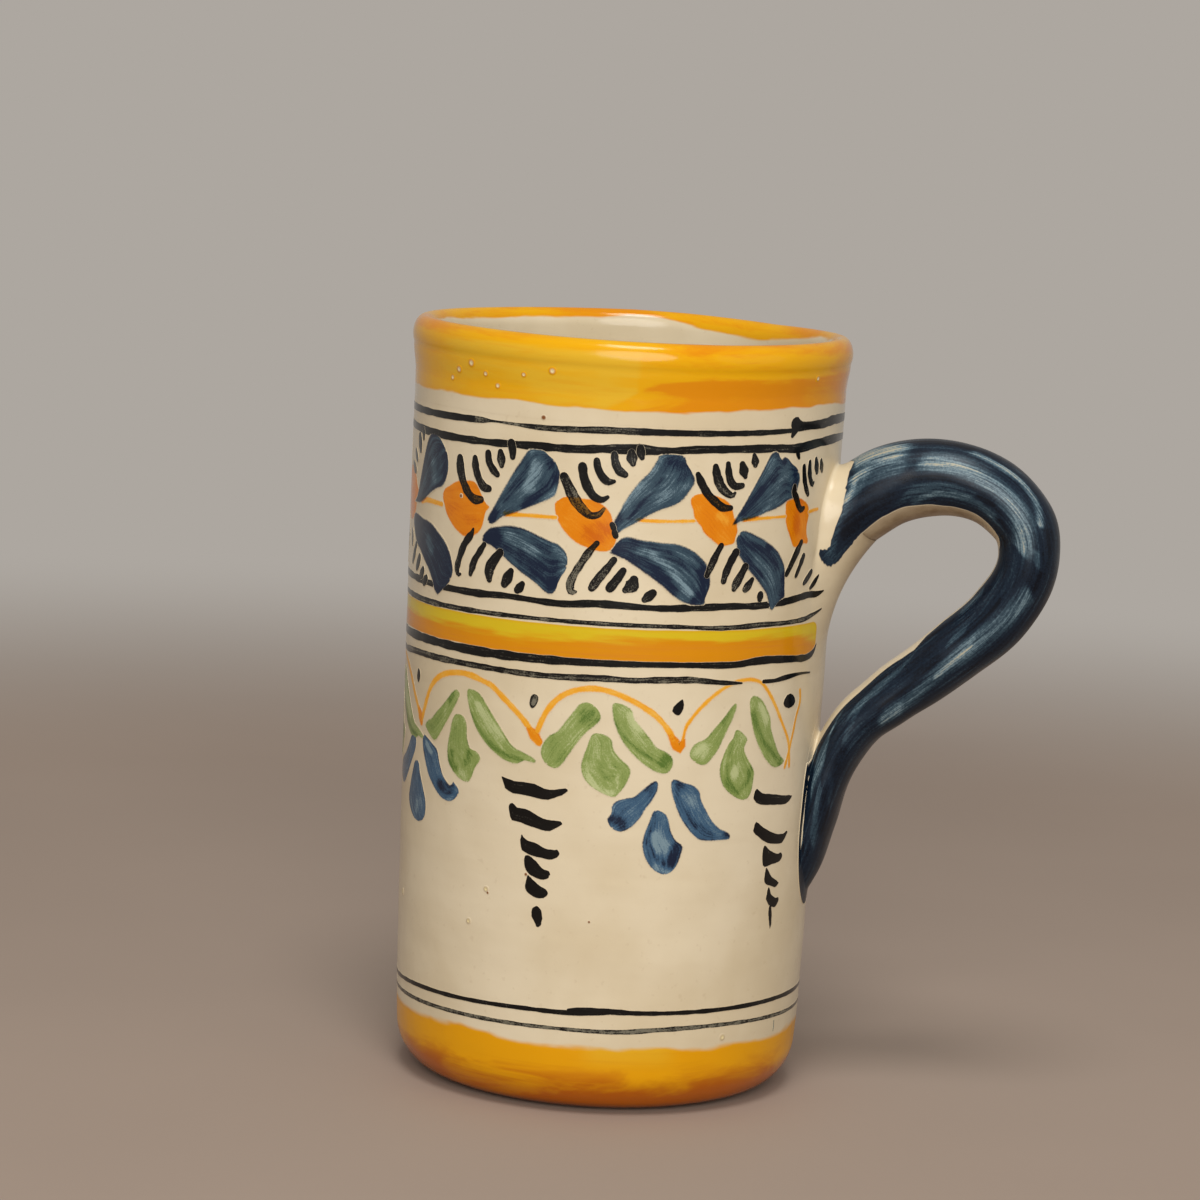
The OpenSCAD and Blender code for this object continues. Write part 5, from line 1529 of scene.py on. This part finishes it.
# Thin places (a positive amount) and loaded places in the blue, as (run, turn). Two pale marks stand in for light: the
# one from 1.002 -60 to 0.534 -112 is a painted highlight, the glare on the near side of the upper flare. The bend's
# mark from 1.08 -62 to 1.314 -96 is a real pale streak, drawn on up to the left as a painted highlight on the coil's
# near flank.
COIL_TONES = tone_marks("0.98 -16, 1.015 -22, 1.04 -32: 2.4 0.95; 0.9 -48, 1.005 -50, 1.025 -58, 1.045 -64: 1.3 0.5; "
                        "0.84 -62, 0.78 -72: 0.9 0.5; 1.08 -62, 1.12 -66, 1.167 -71, 1.203 -73, 1.245 -80, "
                        "1.314 -96: 1.3 0.72; 1.119 -30, 1.152 -35, 1.179 -32, 1.209 -38, 1.245 -52: 0.55 0.8; "
                        "1.164 -14, 1.194 -4, 1.224 -10: 0.3 0.3; 1.299 -70, 1.317 -65: 0.7 0.4; 1.374 -68, "
                        "1.458 -80, 1.53 -85, 1.566 -78, 1.617 -65, 1.671 -65: 1.2 0.55; 1.5 -83, 1.56 -76: 0.4 0.4; "
                        "1.539 -112, 1.563 -110: 0.7 0.35; 1.539 -145, 1.611 -150: 0.5 0.35; 1.692 -128, 1.719 -122, "
                        "1.752 -120, 1.785 -118: 0.8 0.35; 1.731 -168, 1.746 -158: 0.6 0.35; 1.869 -125, 1.866 -110, "
                        "1.929 -112: 0.9 0.6; 1.971 -138, 1.977 -135, 1.989 -130: 0.5 0.6; 1.881 -88, 1.905 -82, "
                        "1.95 -70: 0.8 0.4; 1.839 -68, 1.869 -52: 0.7 0.25; 1.758 -102, 1.776 -90: 0.9 0.3; "
                        "1.665 -62, 1.632 -60: 1 0.3; 1.098 -120, 1.137 -108, 1.185 -108, 1.239 -115: 0.5 0.5; "
                        "1.083 -105, 1.128 -98, 1.17 -100: 0.6 0.35; 1.002 -60, 0.834 -78, 0.687 -92, "
                        "0.534 -112: 1.6 0.35; 1.993 -100, 1.995 -103: 0.6 2.6; 1.986 -88, 1.99 -84: 0.6 -0.3; "
                        "0.861 -30, 0.81 -60: 0.9 -0.3; 1.137 -105, 1.138 -104: 0.3 -0.5; 1.065 -88, 1.11 -85, "
                        "1.155 -90, 1.206 -102: 0.9 -0.25; 0.873 -110, 1.02 -105, 1.056 -105: 2 -0.25; 1.449 -105, "
                        "1.536 -102, 1.593 -88, 1.68 -82: 1 -0.25; 1.356 -58, 1.302 -52, 1.26 -42: 1.5 -0.2; "
                        "1.047 -25, 1.077 -22, 1.107 -22, 1.14 -25: 1.2 -0.2; 1.779 -72, 1.851 -60, "
                        "1.917 -55: 1.5 -0.2; 1.12 62, 1.25 80, 1.4 72: 1.3 0.4; 1.5 95, 1.68 60: 1.2 0.45; 1.75 34, "
                        "1.85 24: 1 0.3; 1.3 112, 1.42 104: 0.6 0.3")


class MUG_OT_handle_paint(PieceOperator, Operator):
    """Drag dark blue along the coil, short of its underside and ragged at its ends"""
    bl_idname = "mug.handle_paint"
    bl_label = "Blue on the Handle"

    def execute(self, context):
        sizes, colours = self.parts(context)
        coil = CoilShape(sizes, CupShape(sizes))
        bm = new_sheet()
        along, across = 420, 84
        lift = 0.05
        # Thin places were measured narrow and strong, and lie softer than that
        marks = [([(coil.mm_along(run), turn * COIL_MM_PER_DEGREE) for run, turn in line],
                  half * (1.6 if half < 1.35 and 0 < amount < 1 else 1), amount * (0.85 if amount < 1 else 1))
                 for line, half, amount in COIL_TONES]

        def where(i, j):
            v = math.sin((j / across * 2 - 1) * math.pi / 2) * 0.35 + (j / across * 2 - 1) * 0.65
            start = (along_table(PAINT_START, v) + 0.02 * noise.noise(Vector((v * 19, 2, 0)))
                     + 0.03 * noise.noise(Vector((v * 46, 9, 0))))
            end = along_table(PAINT_END, v)
            # Flares counted long get more rows and keep the rows nearly square to the coil
            first, last = coil.mm_along(start, FLARE_ROOM), coil.mm_along(end, FLARE_ROOM)
            run = coil.run_at(first + (last - first) * i / along, FLARE_ROOM)
            table, rough, seed = (PAINT_NEAR, 1.5, 1) if v < 0 else (PAINT_FAR, 5, 8)
            reach = along_table(table, run)
            reach += rough * noise.noise(Vector((run * 7, seed, 3))) + 1.5 * noise.noise(Vector((run * 31, seed, 5)))
            turn = v * reach
            at, _ = coil.lifted(run, turn, lift + 0.04 * ease((run - 2) / 0.4))
            on_coil = 1 < run < 2
            run_mm = COIL_RUN if on_coil else 12
            edge = min((1 - abs(v)) * reach * (0.11 if on_coil else 0.13), (run - start) * run_mm,
                       (end - run) * run_mm)
            along_mm, across_mm = coil.mm_along(run), turn * COIL_MM_PER_DEGREE
            return at * MM, {"along": along_mm, "across": across_mm, "edge": edge,
                             "ink": 0.02 + tone_at(along_mm, across_mm, marks)}

        laid_grid(bm, along, across, where)
        bm.normal_update()
        middle = coil.at(coil.last * 0.35)
        beside = Vector((middle[0] + 6, middle[1], middle[2])) * MM
        near = min(bm.faces, key=lambda face: (face.calc_center_median() - beside).length)
        if near.normal.x < 0:
            bmesh.ops.reverse_faces(bm, faces=bm.faces[:])
        close_sheet(bm, HANDLE_PAINT_DEEP)
        finish_piece(context, "handle_blue", bm, coil_paint(colours), [], 60)
        return {"FINISHED"}


class MUG_OT_rings(PieceOperator, Operator):
    """Draw the thin black lines round the cup"""
    bl_idname = "mug.rings"
    bl_label = "Line Rings"

    def execute(self, context):
        colours = context.scene.mug_colours
        black = brush_paint("black_lines", colours, colours.black_pale, colours.black, scaled(colours.black, 0.5),
                            grain=0.16, streaks=0.2, rim=0.3, rim_width=0.35, feather=0.08)
        for seed, (name, lines, wider, thin) in enumerate((
                ("upper_lines", UPPER_LINES, 1.42, {0: 0.34}),
                ("middle_lines", MIDDLE_LINES, 1.42, {2: 0.34, 6: 0.34}),
                ("lower_lines", LOWER_LINES, 1.0, {2: 0.12})), 1):
            brush = Brush(context, 2.4, seed)
            for index, text in enumerate(lines):
                marks = UPPER_TONES if lines is UPPER_LINES and index == 0 else ()
                brush.line(*widened(text, wider), thin.get(index, 0.62), wobble=0.2, step=0.8, marks=marks)
            if lines is UPPER_LINES:
                for text in LINE_BLOBS:
                    brush.line(*widened(text), 0.75, wobble=0.25, step=0.3)
            brush.finish(context, name, black)
        return {"FINISHED"}


class MUG_OT_frieze(PieceOperator, Operator):
    """Paint the frieze of orange dots, blue petals and black dashes"""
    bl_idname = "mug.frieze"
    bl_label = "Frieze"

    def execute(self, context):
        colours = context.scene.mug_colours
        orange = brush_paint("orange_dots", colours, colours.orange_pale, colours.orange, colours.orange_dark,
                             grain=0.08, streaks=0.1, rim=0.1, ends=0.0, feather=0.3, fan=True)
        link = brush_paint("orange_links", colours, colours.arch_pale, colours.arch, colours.orange, grain=0.08,
                           streaks=0.1, rim=0.15, feather=0.3)
        blue = brush_paint("blue_petals", colours, colours.blue_pale, colours.petal, colours.blue_dark, grain=0.12,
                           streaks=0.2, rim=0.14, rim_width=0.6, ends=0.32, feather=0.4, fan=True, load=0.12)
        black = brush_paint("black_dashes", colours, colours.black_pale, scaled(colours.black, 1.5),
                            scaled(colours.black, 0.6), grain=0.26, streaks=0.16, rim=0.34, rim_width=0.4, ends=0.3,
                            feather=0.07)
        below = []
        dots, petals, dashes = Brush(context, 1.0, 11), Brush(context, 2.6, 12, below), Brush(context, 3.8, 13, below)
        thin = Brush(context, 1.6, 14)
        spread = random.Random(21)
        plan = [("a", "d1", "p2", "q2", "t1", 0.0), ("b", "d2", "p3", "q3", "t2", 0.0),
                ("c", "d3", "p4", "q4", "t3", 0.0), ("d", "d4", None, None, "t4", 0.0),
                ("e", None, "p1", "q1", "t0", 0.0)] + FRIEZE_BACK
        # A unit round the back is shifted, lifted and widened about its dot
        moves = []
        for _, dot, *_, by in plan:
            about = sum(place[0] for place in DOTS[dot]) / len(DOTS[dot]) if dot else 0.0
            lifts, wide = (spread.uniform(-0.4, 0.4), spread.uniform(0.94, 1.05)) if by else (0.0, 1.0)
            moves.append((by, lifts, wide, about))

        def flat(outline, steps=6, closed=False):
            return smooth_curve([(angle * MM_PER_DEGREE, z) for angle, z in outline], steps, closed)

        # Orange first, so that what is painted over it lets it through
        for (kind, dot, upper, lower, link_key, by), move in zip(plan, moves):
            if dot:
                outline = moved(DOTS[dot], *move)
                dots.shape(outline, *toned(dot, *move), along=24)
                below.append((flat(outline, 2, True), 0))
            line, width = THIN_LINES[link_key]
            line = moved(line, *move)
            thin.line(line, width * 1.1, 0.4, wobble=0.25)
            below.append((flat(line), width * 0.5))
        # Where a brush was set down the blue stands dark
        pools = points("-2.4 105.2 0.5, -1.8 103.9 0.45, -35.8 104.3 0.6, 30 106.7 0.5, -38.4 102.1 0.6, "
                       "-2.3 100.9 0.6")
        knots = [([(angle + by, z), (angle + by + 0.1, z)], half, 0.75)
                 for by in (0.0, 80.0, 184.5, 187.0) for angle, z, half in pools]
        # The dot that the left edge of the front half hides
        dots.shape(moved(DOTS["d1"], -34.5, 0.2), along=20)
        for (kind, dot, upper, lower, link_key, by), move in zip(plan, moves):
            petal_move = (by, move[1] * 0.5, *move[2:])
            for petal in (upper, lower):
                if petal:
                    outline = moved(PETALS[petal], *petal_move)
                    tone, marks = toned(petal, *petal_move)
                    marks += [knot for knot in knots if abs(knot[0][0][0] - outline[0][0]) < 12]
                    petals.shape(outline, tone, marks, along=42)
            if kind == "b":
                for text in ("-2.6 105.6, -2.2 105", "-1.9 104.3, -1.6 103.7"):
                    dashes.line(moved(points(text), *move), 1.1, 0.75, wobble=0.2, step=0.2)
            for text in DASHES[kind]:
                thin_ink = kind == "b" and text.startswith(("-15.7", "-6.3"))
                load = 0.2 if thin_ink else spread.uniform(0.5, 0.68)
                line, widths = widened(text, 1.32)
                dashes.line(moved(line, *move), widths, lambda share, load=load: load + 0.25 - 0.4 * share,
                            wobble=0.22, step=0.4)
        dots.finish(context, "orange_dots", orange)
        petals.finish(context, "blue_petals", blue, "blue_enamel")
        thin.finish(context, "orange_links", link)
        dashes.finish(context, "black_dashes", black)
        return {"FINISHED"}


class MUG_OT_garland(PieceOperator, Operator):
    """Paint the garland of arches with green and blue leaves and black dashes under it"""
    bl_idname = "mug.garland"
    bl_label = "Garland"

    def execute(self, context):
        colours = context.scene.mug_colours
        arch = brush_paint("orange_arches", colours, colours.arch_pale, colours.arch, colours.orange, grain=0.08,
                           streaks=0.12, rim=0.12, rim_width=0.4, ends=0.3, feather=0.35)
        green = brush_paint("green_leaves", colours, colours.green_pale, colours.green, colours.green_dark,
                            grain=0.14, streaks=0.12, rim=0.26, rim_width=0.5, ends=0.12, feather=0.35, fan=True)
        blue = brush_paint("blue_leaves", colours, colours.blue_pale, colours.leaf_blue, colours.blue_dark,
                           grain=0.12, streaks=0.16, rim=0.26, rim_width=0.5, ends=0.2, feather=0.32, fan=True)
        black = brush_paint("black_columns", colours, colours.black_pale, colours.black, scaled(colours.black, 0.5),
                            grain=0.2, streaks=0.12, feather=0.08)
        arches, leaves, blues, columns, marks = (
            Brush(context, level, seed) for level, seed in ((1.2, 31), (2.2, 32), (2.2, 33), (2.2, 34), (3.0, 35)))
        spread = random.Random(41)

        for line, width in ARCHES:
            arches.line(line, width * 1.15, 0.38, wobble=0.2)
        for text in POOLS:
            arches.line(*widened(text, 1.1), 0.85, wobble=0.2)
        for key in GREEN:
            leaves.shape(GREEN[key], *toned("g" + key), along=32)
        for key in BLUE:
            blues.shape(BLUE[key], *toned("b" + key), along=32)
        for key in COLUMNS:
            for outline in COLUMNS[key]:
                columns.shape(self.fuller(outline), 0.7, along=20, ragged=0.12)
        marks.shape(points("-67.4 73.9, -66.6 75.1, -65.2 74.8, -64.9 73.6, -65.9 72.6, -67.1 73"), 0.8, along=8)
        marks.shape(points("-22.3 73.6, -21.8 74.6, -20.9 74.9, -19.8 74.5, -19.9 73.5, -20.6 72.6, -21.5 72.3, "
                           "-22.2 72.8"), 0.28, tone_marks("-21.1 73.4, -21 73.5: 0.4 -0.7"), along=10)
        marks.shape(MEETING_DOT, 0.8, along=8)
        marks.shape(points("52.1 73.9, 53.3 75.1, 55.6 75.3, 57.6 74.2, 57.4 73.1, 55 72.6, 52.8 73"), 0.8, along=8)
        # Round the back the same strokes come again between the points where the arches meet
        ends = list(zip(GARLAND_BACK, GARLAND_BACK[1:]))
        for index, (low, high) in enumerate(ends):
            source = (1, 2, 3, 2, 1)[index]
            centre = (-41.5, -1.4, 36.9)[source - 1]
            middle, up = (low + high) / 2, spread.uniform(-0.4, 0.4)
            if index < 4:
                line, width = ARCHES[source]
                line = line[:-1] if source == 3 else line
                first, last = line[0][0], line[-1][0]
                stretch = (high - low) / (last - first)
                arches.line([(low + (a - first) * stretch, z + up) for a, z in line], width * 1.15, 0.38, wobble=0.2)
            for part in PARTS:
                key = f"{part}{source}"
                leaves.shape(moved(GREEN[key], middle - centre, up), *toned("g" + key, middle - centre, up), along=32)
            if index < 4:
                pool, widths = widened(POOLS[index % 3])
                arches.line(moved(pool, high - pool[1][0], up), widths, 0.85)
        arches.line(points("257.2 66.6, 259 70, 262 72.5, 265 74.6, 270 75.9, 275.5 76.4, 280.5 75.9"), 1.3, 0.38,
                    wobble=0.2)
        for index, angle in enumerate(GARLAND_BACK[:-1]):
            up = spread.uniform(-0.5, 0.5)
            if index % 2:
                source, centre = (("3", 14.8), ("1", -64.0))[index // 2 % 2]
                for part in PARTS:
                    by = angle - centre - 1.5
                    blues.shape(moved(BLUE[part + source], by, up), *toned("b" + part + source, by, up), along=32)
            else:
                source, centre = (("four", 52.5), ("two", -18.5), ("four", 52.5))[index // 2]
                for outline in COLUMNS[source]:
                    columns.shape(moved(self.fuller(outline), angle - centre, up), 0.7, along=20, ragged=0.12)
            marks.shape(moved(MEETING_DOT, angle - 17.6, up), 0.8, along=8)
        arches.finish(context, "arches", arch)
        leaves.finish(context, "green_leaves", green)
        blues.finish(context, "blue_leaves", blue, "blue_enamel")
        columns.finish(context, "black_columns", black)
        marks.finish(context, "garland_dots", black)
        return {"FINISHED"}

    @staticmethod
    def fuller(outline, by=0.16):
        """An outline grown a little, to make up for the soft edge of its paint."""
        middle_a = sum(p[0] for p in outline) / len(outline)
        middle_z = sum(p[1] for p in outline) / len(outline)
        made = []
        for angle, z in outline:
            x, up = (angle - middle_a) * MM_PER_DEGREE, z - middle_z
            grow = 1 + by / max(math.hypot(x, up), 0.3)
            made.append((middle_a + x * grow / MM_PER_DEGREE, middle_z + up * (grow + 0.06)))
        return made


# Pinholes in the glaze: view angle, height and size
PITS = points("-45 131.9 0.55, -50 130.4 0.5, -53 128.7 0.42, -36 128.4 0.42, -40 130.3 0.4, -28 131 0.35, "
              "-20 132.2 0.5, 56 132.1 0.4, -75 33 0.45, -33 39 0.4, -38.5 32.6 0.4, 37.8 14 0.45")
# Brown specks in the glaze: view angle, height and size
SPECKS = points("-22 123.5 0.45, -21 42.8 0.3, -32.4 38.4 0.25, -3.1 35.4 0.22, -47.5 107.8 0.35, 120 96 0.3, "
                "205 30 0.35, 160 60 0.3")


class MUG_OT_specks(PieceOperator, Operator):
    """Add the pinholes and the brown specks of the glaze"""
    bl_idname = "mug.specks"
    bl_label = "Pinholes and Specks"

    def execute(self, context):
        sizes, colours = self.parts(context)
        surface = Surface(sizes)
        # Each ring of a speck: its share of the speck's size, and its height on the glaze in mm
        for name, table, rings, dark, fade in (
                ("pinholes", PITS, points("0 0.01, 0.35 0.02, 0.7 0.09, 1.1 0.08, 1.7 0"), (0.72, 0.60, 0.33), 1.3),
                ("brown_specks", SPECKS, points("0 0.09, 0.5 0.085, 1 0.05, 1.3 0"), (0.20, 0.07, 0.02), 1.25)):
            bm = new_sheet()
            for angle, z, size in table:
                def where(i, j, angle=angle, z=z, size=size):
                    turn, (share, rise) = i * math.tau / 12, rings[j]
                    on, up = size * share * math.cos(turn) / MM_PER_DEGREE, size * share * math.sin(turn)
                    return surface.place(angle + on, z + up, rise + 0.02), {"share": share}

                laid_grid(bm, 12, len(rings) - 1, where)
            bmesh.ops.remove_doubles(bm, verts=bm.verts[:], dist=2e-6)
            for face in bm.faces:
                face.normal_update()
                middle = face.calc_center_median()
                if face.normal.dot(Vector((middle.x, middle.y, 0))) < 0:
                    face.normal_flip()
            close_sheet(bm, SPECK_DEEP)
            finish = Finish(name)
            on_rim = finish.step(finish.apart()[2], 0.1250, 0.1256)
            share = finish.layer("share")
            finish.glaze_skin(rough=0.2)
            made = finish.mix(finish.step(share, 0.5, fade), dark,
                              finish.mix(on_rim, finish.cream(colours), colours.rim))
            # Painted shade: a darker ring round each pinhole stands for the shade of its dent, round the paler glaze
            # that shows through at its centre
            if name == "pinholes":
                ring = finish.times(finish.step(share, 0.45, 0.8), finish.step(share, 1.6, 1.1))
                made = finish.mix(finish.times(ring, 0.4), made,
                                  finish.mix(on_rim, (0.36, 0.24, 0.12), colours.foot_dark))
            finish_piece(context, name, bm, finish.done(made))
        brush = Brush(context, 2.0, 51)
        brush.line(points("60.2 13.1, 60.3 14, 60.1 14.9"), 0.5)
        teal = brush_paint("teal_mark", colours, (0.1, 0.25, 0.26), (0.02, 0.12, 0.14), (0.01, 0.06, 0.07))
        brush.finish(context, "teal_tick", teal)
        return {"FINISHED"}


class MUG_OT_stage(PieceOperator, Operator):
    """Set the plain floor, the soft lamps and the camera"""
    bl_idname = "mug.stage"
    bl_label = "Stage"

    def execute(self, context):
        colours = context.scene.mug_colours
        self.floor(context, colours)
        self.backdrop(context, colours)
        self.lamps(context)
        self.camera(context)
        return {"FINISHED"}

    @staticmethod
    def seen(tree):
        """1 for what is looked at, and 0 for what only lights the mug."""
        path = tree.nodes.new("ShaderNodeLightPath")
        found = path.outputs["Is Camera Ray"]
        for kind in ("Is Glossy Ray", "Is Transmission Ray"):
            larger = tree.nodes.new("ShaderNodeMath")
            larger.operation = "MAXIMUM"
            tree.links.new(found, larger.inputs[0])
            tree.links.new(path.outputs[kind], larger.inputs[1])
            found = larger.outputs[0]
        return found

    @staticmethod
    def blend(tree, share, first, second, out):
        mixed = tree.nodes.new("ShaderNodeMixShader")
        for source, socket in zip((share, first.outputs[0], second.outputs[0]), mixed.inputs):
            tree.links.new(source, socket)
        tree.links.new(mixed.outputs[0], out.inputs[0])

    def floor(self, context, colours):
        bm = bmesh.new()
        bmesh.ops.create_circle(bm, cap_ends=True, radius=6.0, segments=96)
        bmesh.ops.recalc_face_normals(bm, faces=bm.faces[:])
        mesh = bpy.data.meshes.new("floor")
        bm.to_mesh(mesh)
        bm.free()
        floor = bpy.data.objects.new("floor", mesh)
        context.scene.collection.objects.link(floor)
        finish = Finish("plain_floor")
        base = finish.mix(finish.step(finish.noise(5, 3.0), 0.3, 0.7, 0.0, 0.5), colours.floor,
                          scaled(colours.floor, 0.86))
        finish.shader.inputs["Roughness"].default_value = 0.75
        finish.shader.inputs["Specular IOR Level"].default_value = 0.25
        finish.done(base)
        glow = finish.tree.nodes.new("ShaderNodeEmission")
        glow.inputs[0].default_value = (*colours.backdrop, 1)
        share = finish.times(finish.step(finish.radius(), 0.30, 0.72), self.seen(finish.tree))
        self.blend(finish.tree, share, finish.shader, glow, finish.output)
        mesh.materials.append(finish.material)

    def backdrop(self, context, colours):
        world = bpy.data.worlds.new("studio")
        world.use_nodes = True
        tree = world.node_tree
        light = next(node for node in tree.nodes if node.type == "BACKGROUND")
        out = next(node for node in tree.nodes if node.type == "OUTPUT_WORLD")
        light.inputs[0].default_value = (*LAMP_TINT, 1)
        light.inputs[1].default_value = 0.36
        plain = tree.nodes.new("ShaderNodeBackground")
        plain.inputs[0].default_value = (*colours.backdrop, 1)
        self.blend(tree, self.seen(tree), light, plain, out)
        context.scene.world = world

    def lamps(self, context):
        # Place in the painter's view, size and power of each soft lamp
        for name, place, size, power in (
                ("overhead_lamp", (0.0, -0.44, 1.05), 0.4, 5.0),
                ("front_lamp", (0.03, -1.2, 0.5), 0.9, 10.3),
                ("right_lamp", (0.95, -0.45, 0.45), 0.8, 0.5)):
            data = bpy.data.lights.new(name, "AREA")
            data.shape, data.size, data.energy, data.color = "DISK", size, power, LAMP_TINT
            lamp = bpy.data.objects.new(name, data)
            spot = Matrix.Rotation(math.radians(CAMERA_TURN), 3, "Z") @ Vector(place)
            lamp.location = spot
            lamp.rotation_euler = (Vector((0, 0, 0.07)) - spot).to_track_quat("-Z", "Y").to_euler()
            context.scene.collection.objects.link(lamp)

    @staticmethod
    def camera(context):
        data = bpy.data.cameras.new("camera")
        data.lens, data.sensor_width = CAMERA_LENS, 36
        data.clip_start, data.clip_end = 0.01, 30
        camera = bpy.data.objects.new("camera", data)
        pitch, yaw, roll = (math.radians(value) for value in (CAMERA_PITCH, CAMERA_YAW, CAMERA_ROLL))
        ahead = Vector((math.sin(yaw) * math.cos(pitch), math.cos(yaw) * math.cos(pitch), -math.sin(pitch)))
        right = Vector((math.cos(yaw), -math.sin(yaw), 0))
        up = right.cross(ahead)
        right, up = right * math.cos(roll) + up * math.sin(roll), up * math.cos(roll) - right * math.sin(roll)
        turn = Matrix.Rotation(math.radians(CAMERA_TURN), 4, "Z")
        frame_axes = Matrix((right, up, -ahead)).transposed().to_4x4()
        frame_axes.translation = CAMERA_PLACE * MM
        camera.matrix_world = turn @ frame_axes
        context.scene.collection.objects.link(camera)
        context.scene.camera = camera
        context.scene.view_settings.view_transform = "Standard"


class MUG_PT_panel(Panel):
    """The mug's pieces, sizes and colours"""
    bl_idname = "MUG_PT_panel"
    bl_label = "Talavera Mug"
    bl_space_type = "VIEW_3D"
    bl_region_type = "UI"
    bl_category = "Mug"

    def draw(self, context):
        layout = self.layout
        for operator in PIECES:
            layout.operator(operator.bl_idname)
        for group in (context.scene.mug_sizes, context.scene.mug_colours):
            box = layout.box()
            for key in group.bl_rna.properties.keys():
                if key not in {"rna_type", "name"}:
                    box.prop(group, key)


PIECES = (MUG_OT_clay_cup, MUG_OT_glaze, MUG_OT_bands, MUG_OT_handle, MUG_OT_handle_paint, MUG_OT_rings,
          MUG_OT_frieze, MUG_OT_garland, MUG_OT_specks, MUG_OT_stage)
CLASSES = (MugSizes, MugColours, *PIECES, MUG_PT_panel)


def register():
    for kind in CLASSES:
        bpy.utils.register_class(kind)
    bpy.types.Scene.mug_sizes = PointerProperty(type=MugSizes)
    bpy.types.Scene.mug_colours = PointerProperty(type=MugColours)


def unregister():
    del bpy.types.Scene.mug_colours
    del bpy.types.Scene.mug_sizes
    for kind in reversed(CLASSES):
        bpy.utils.unregister_class(kind)


def main():
    register()
    for operator in PIECES:
        group, name = operator.bl_idname.split(".")
        getattr(getattr(bpy.ops, group), name)()


if __name__ == "__main__":
    main()
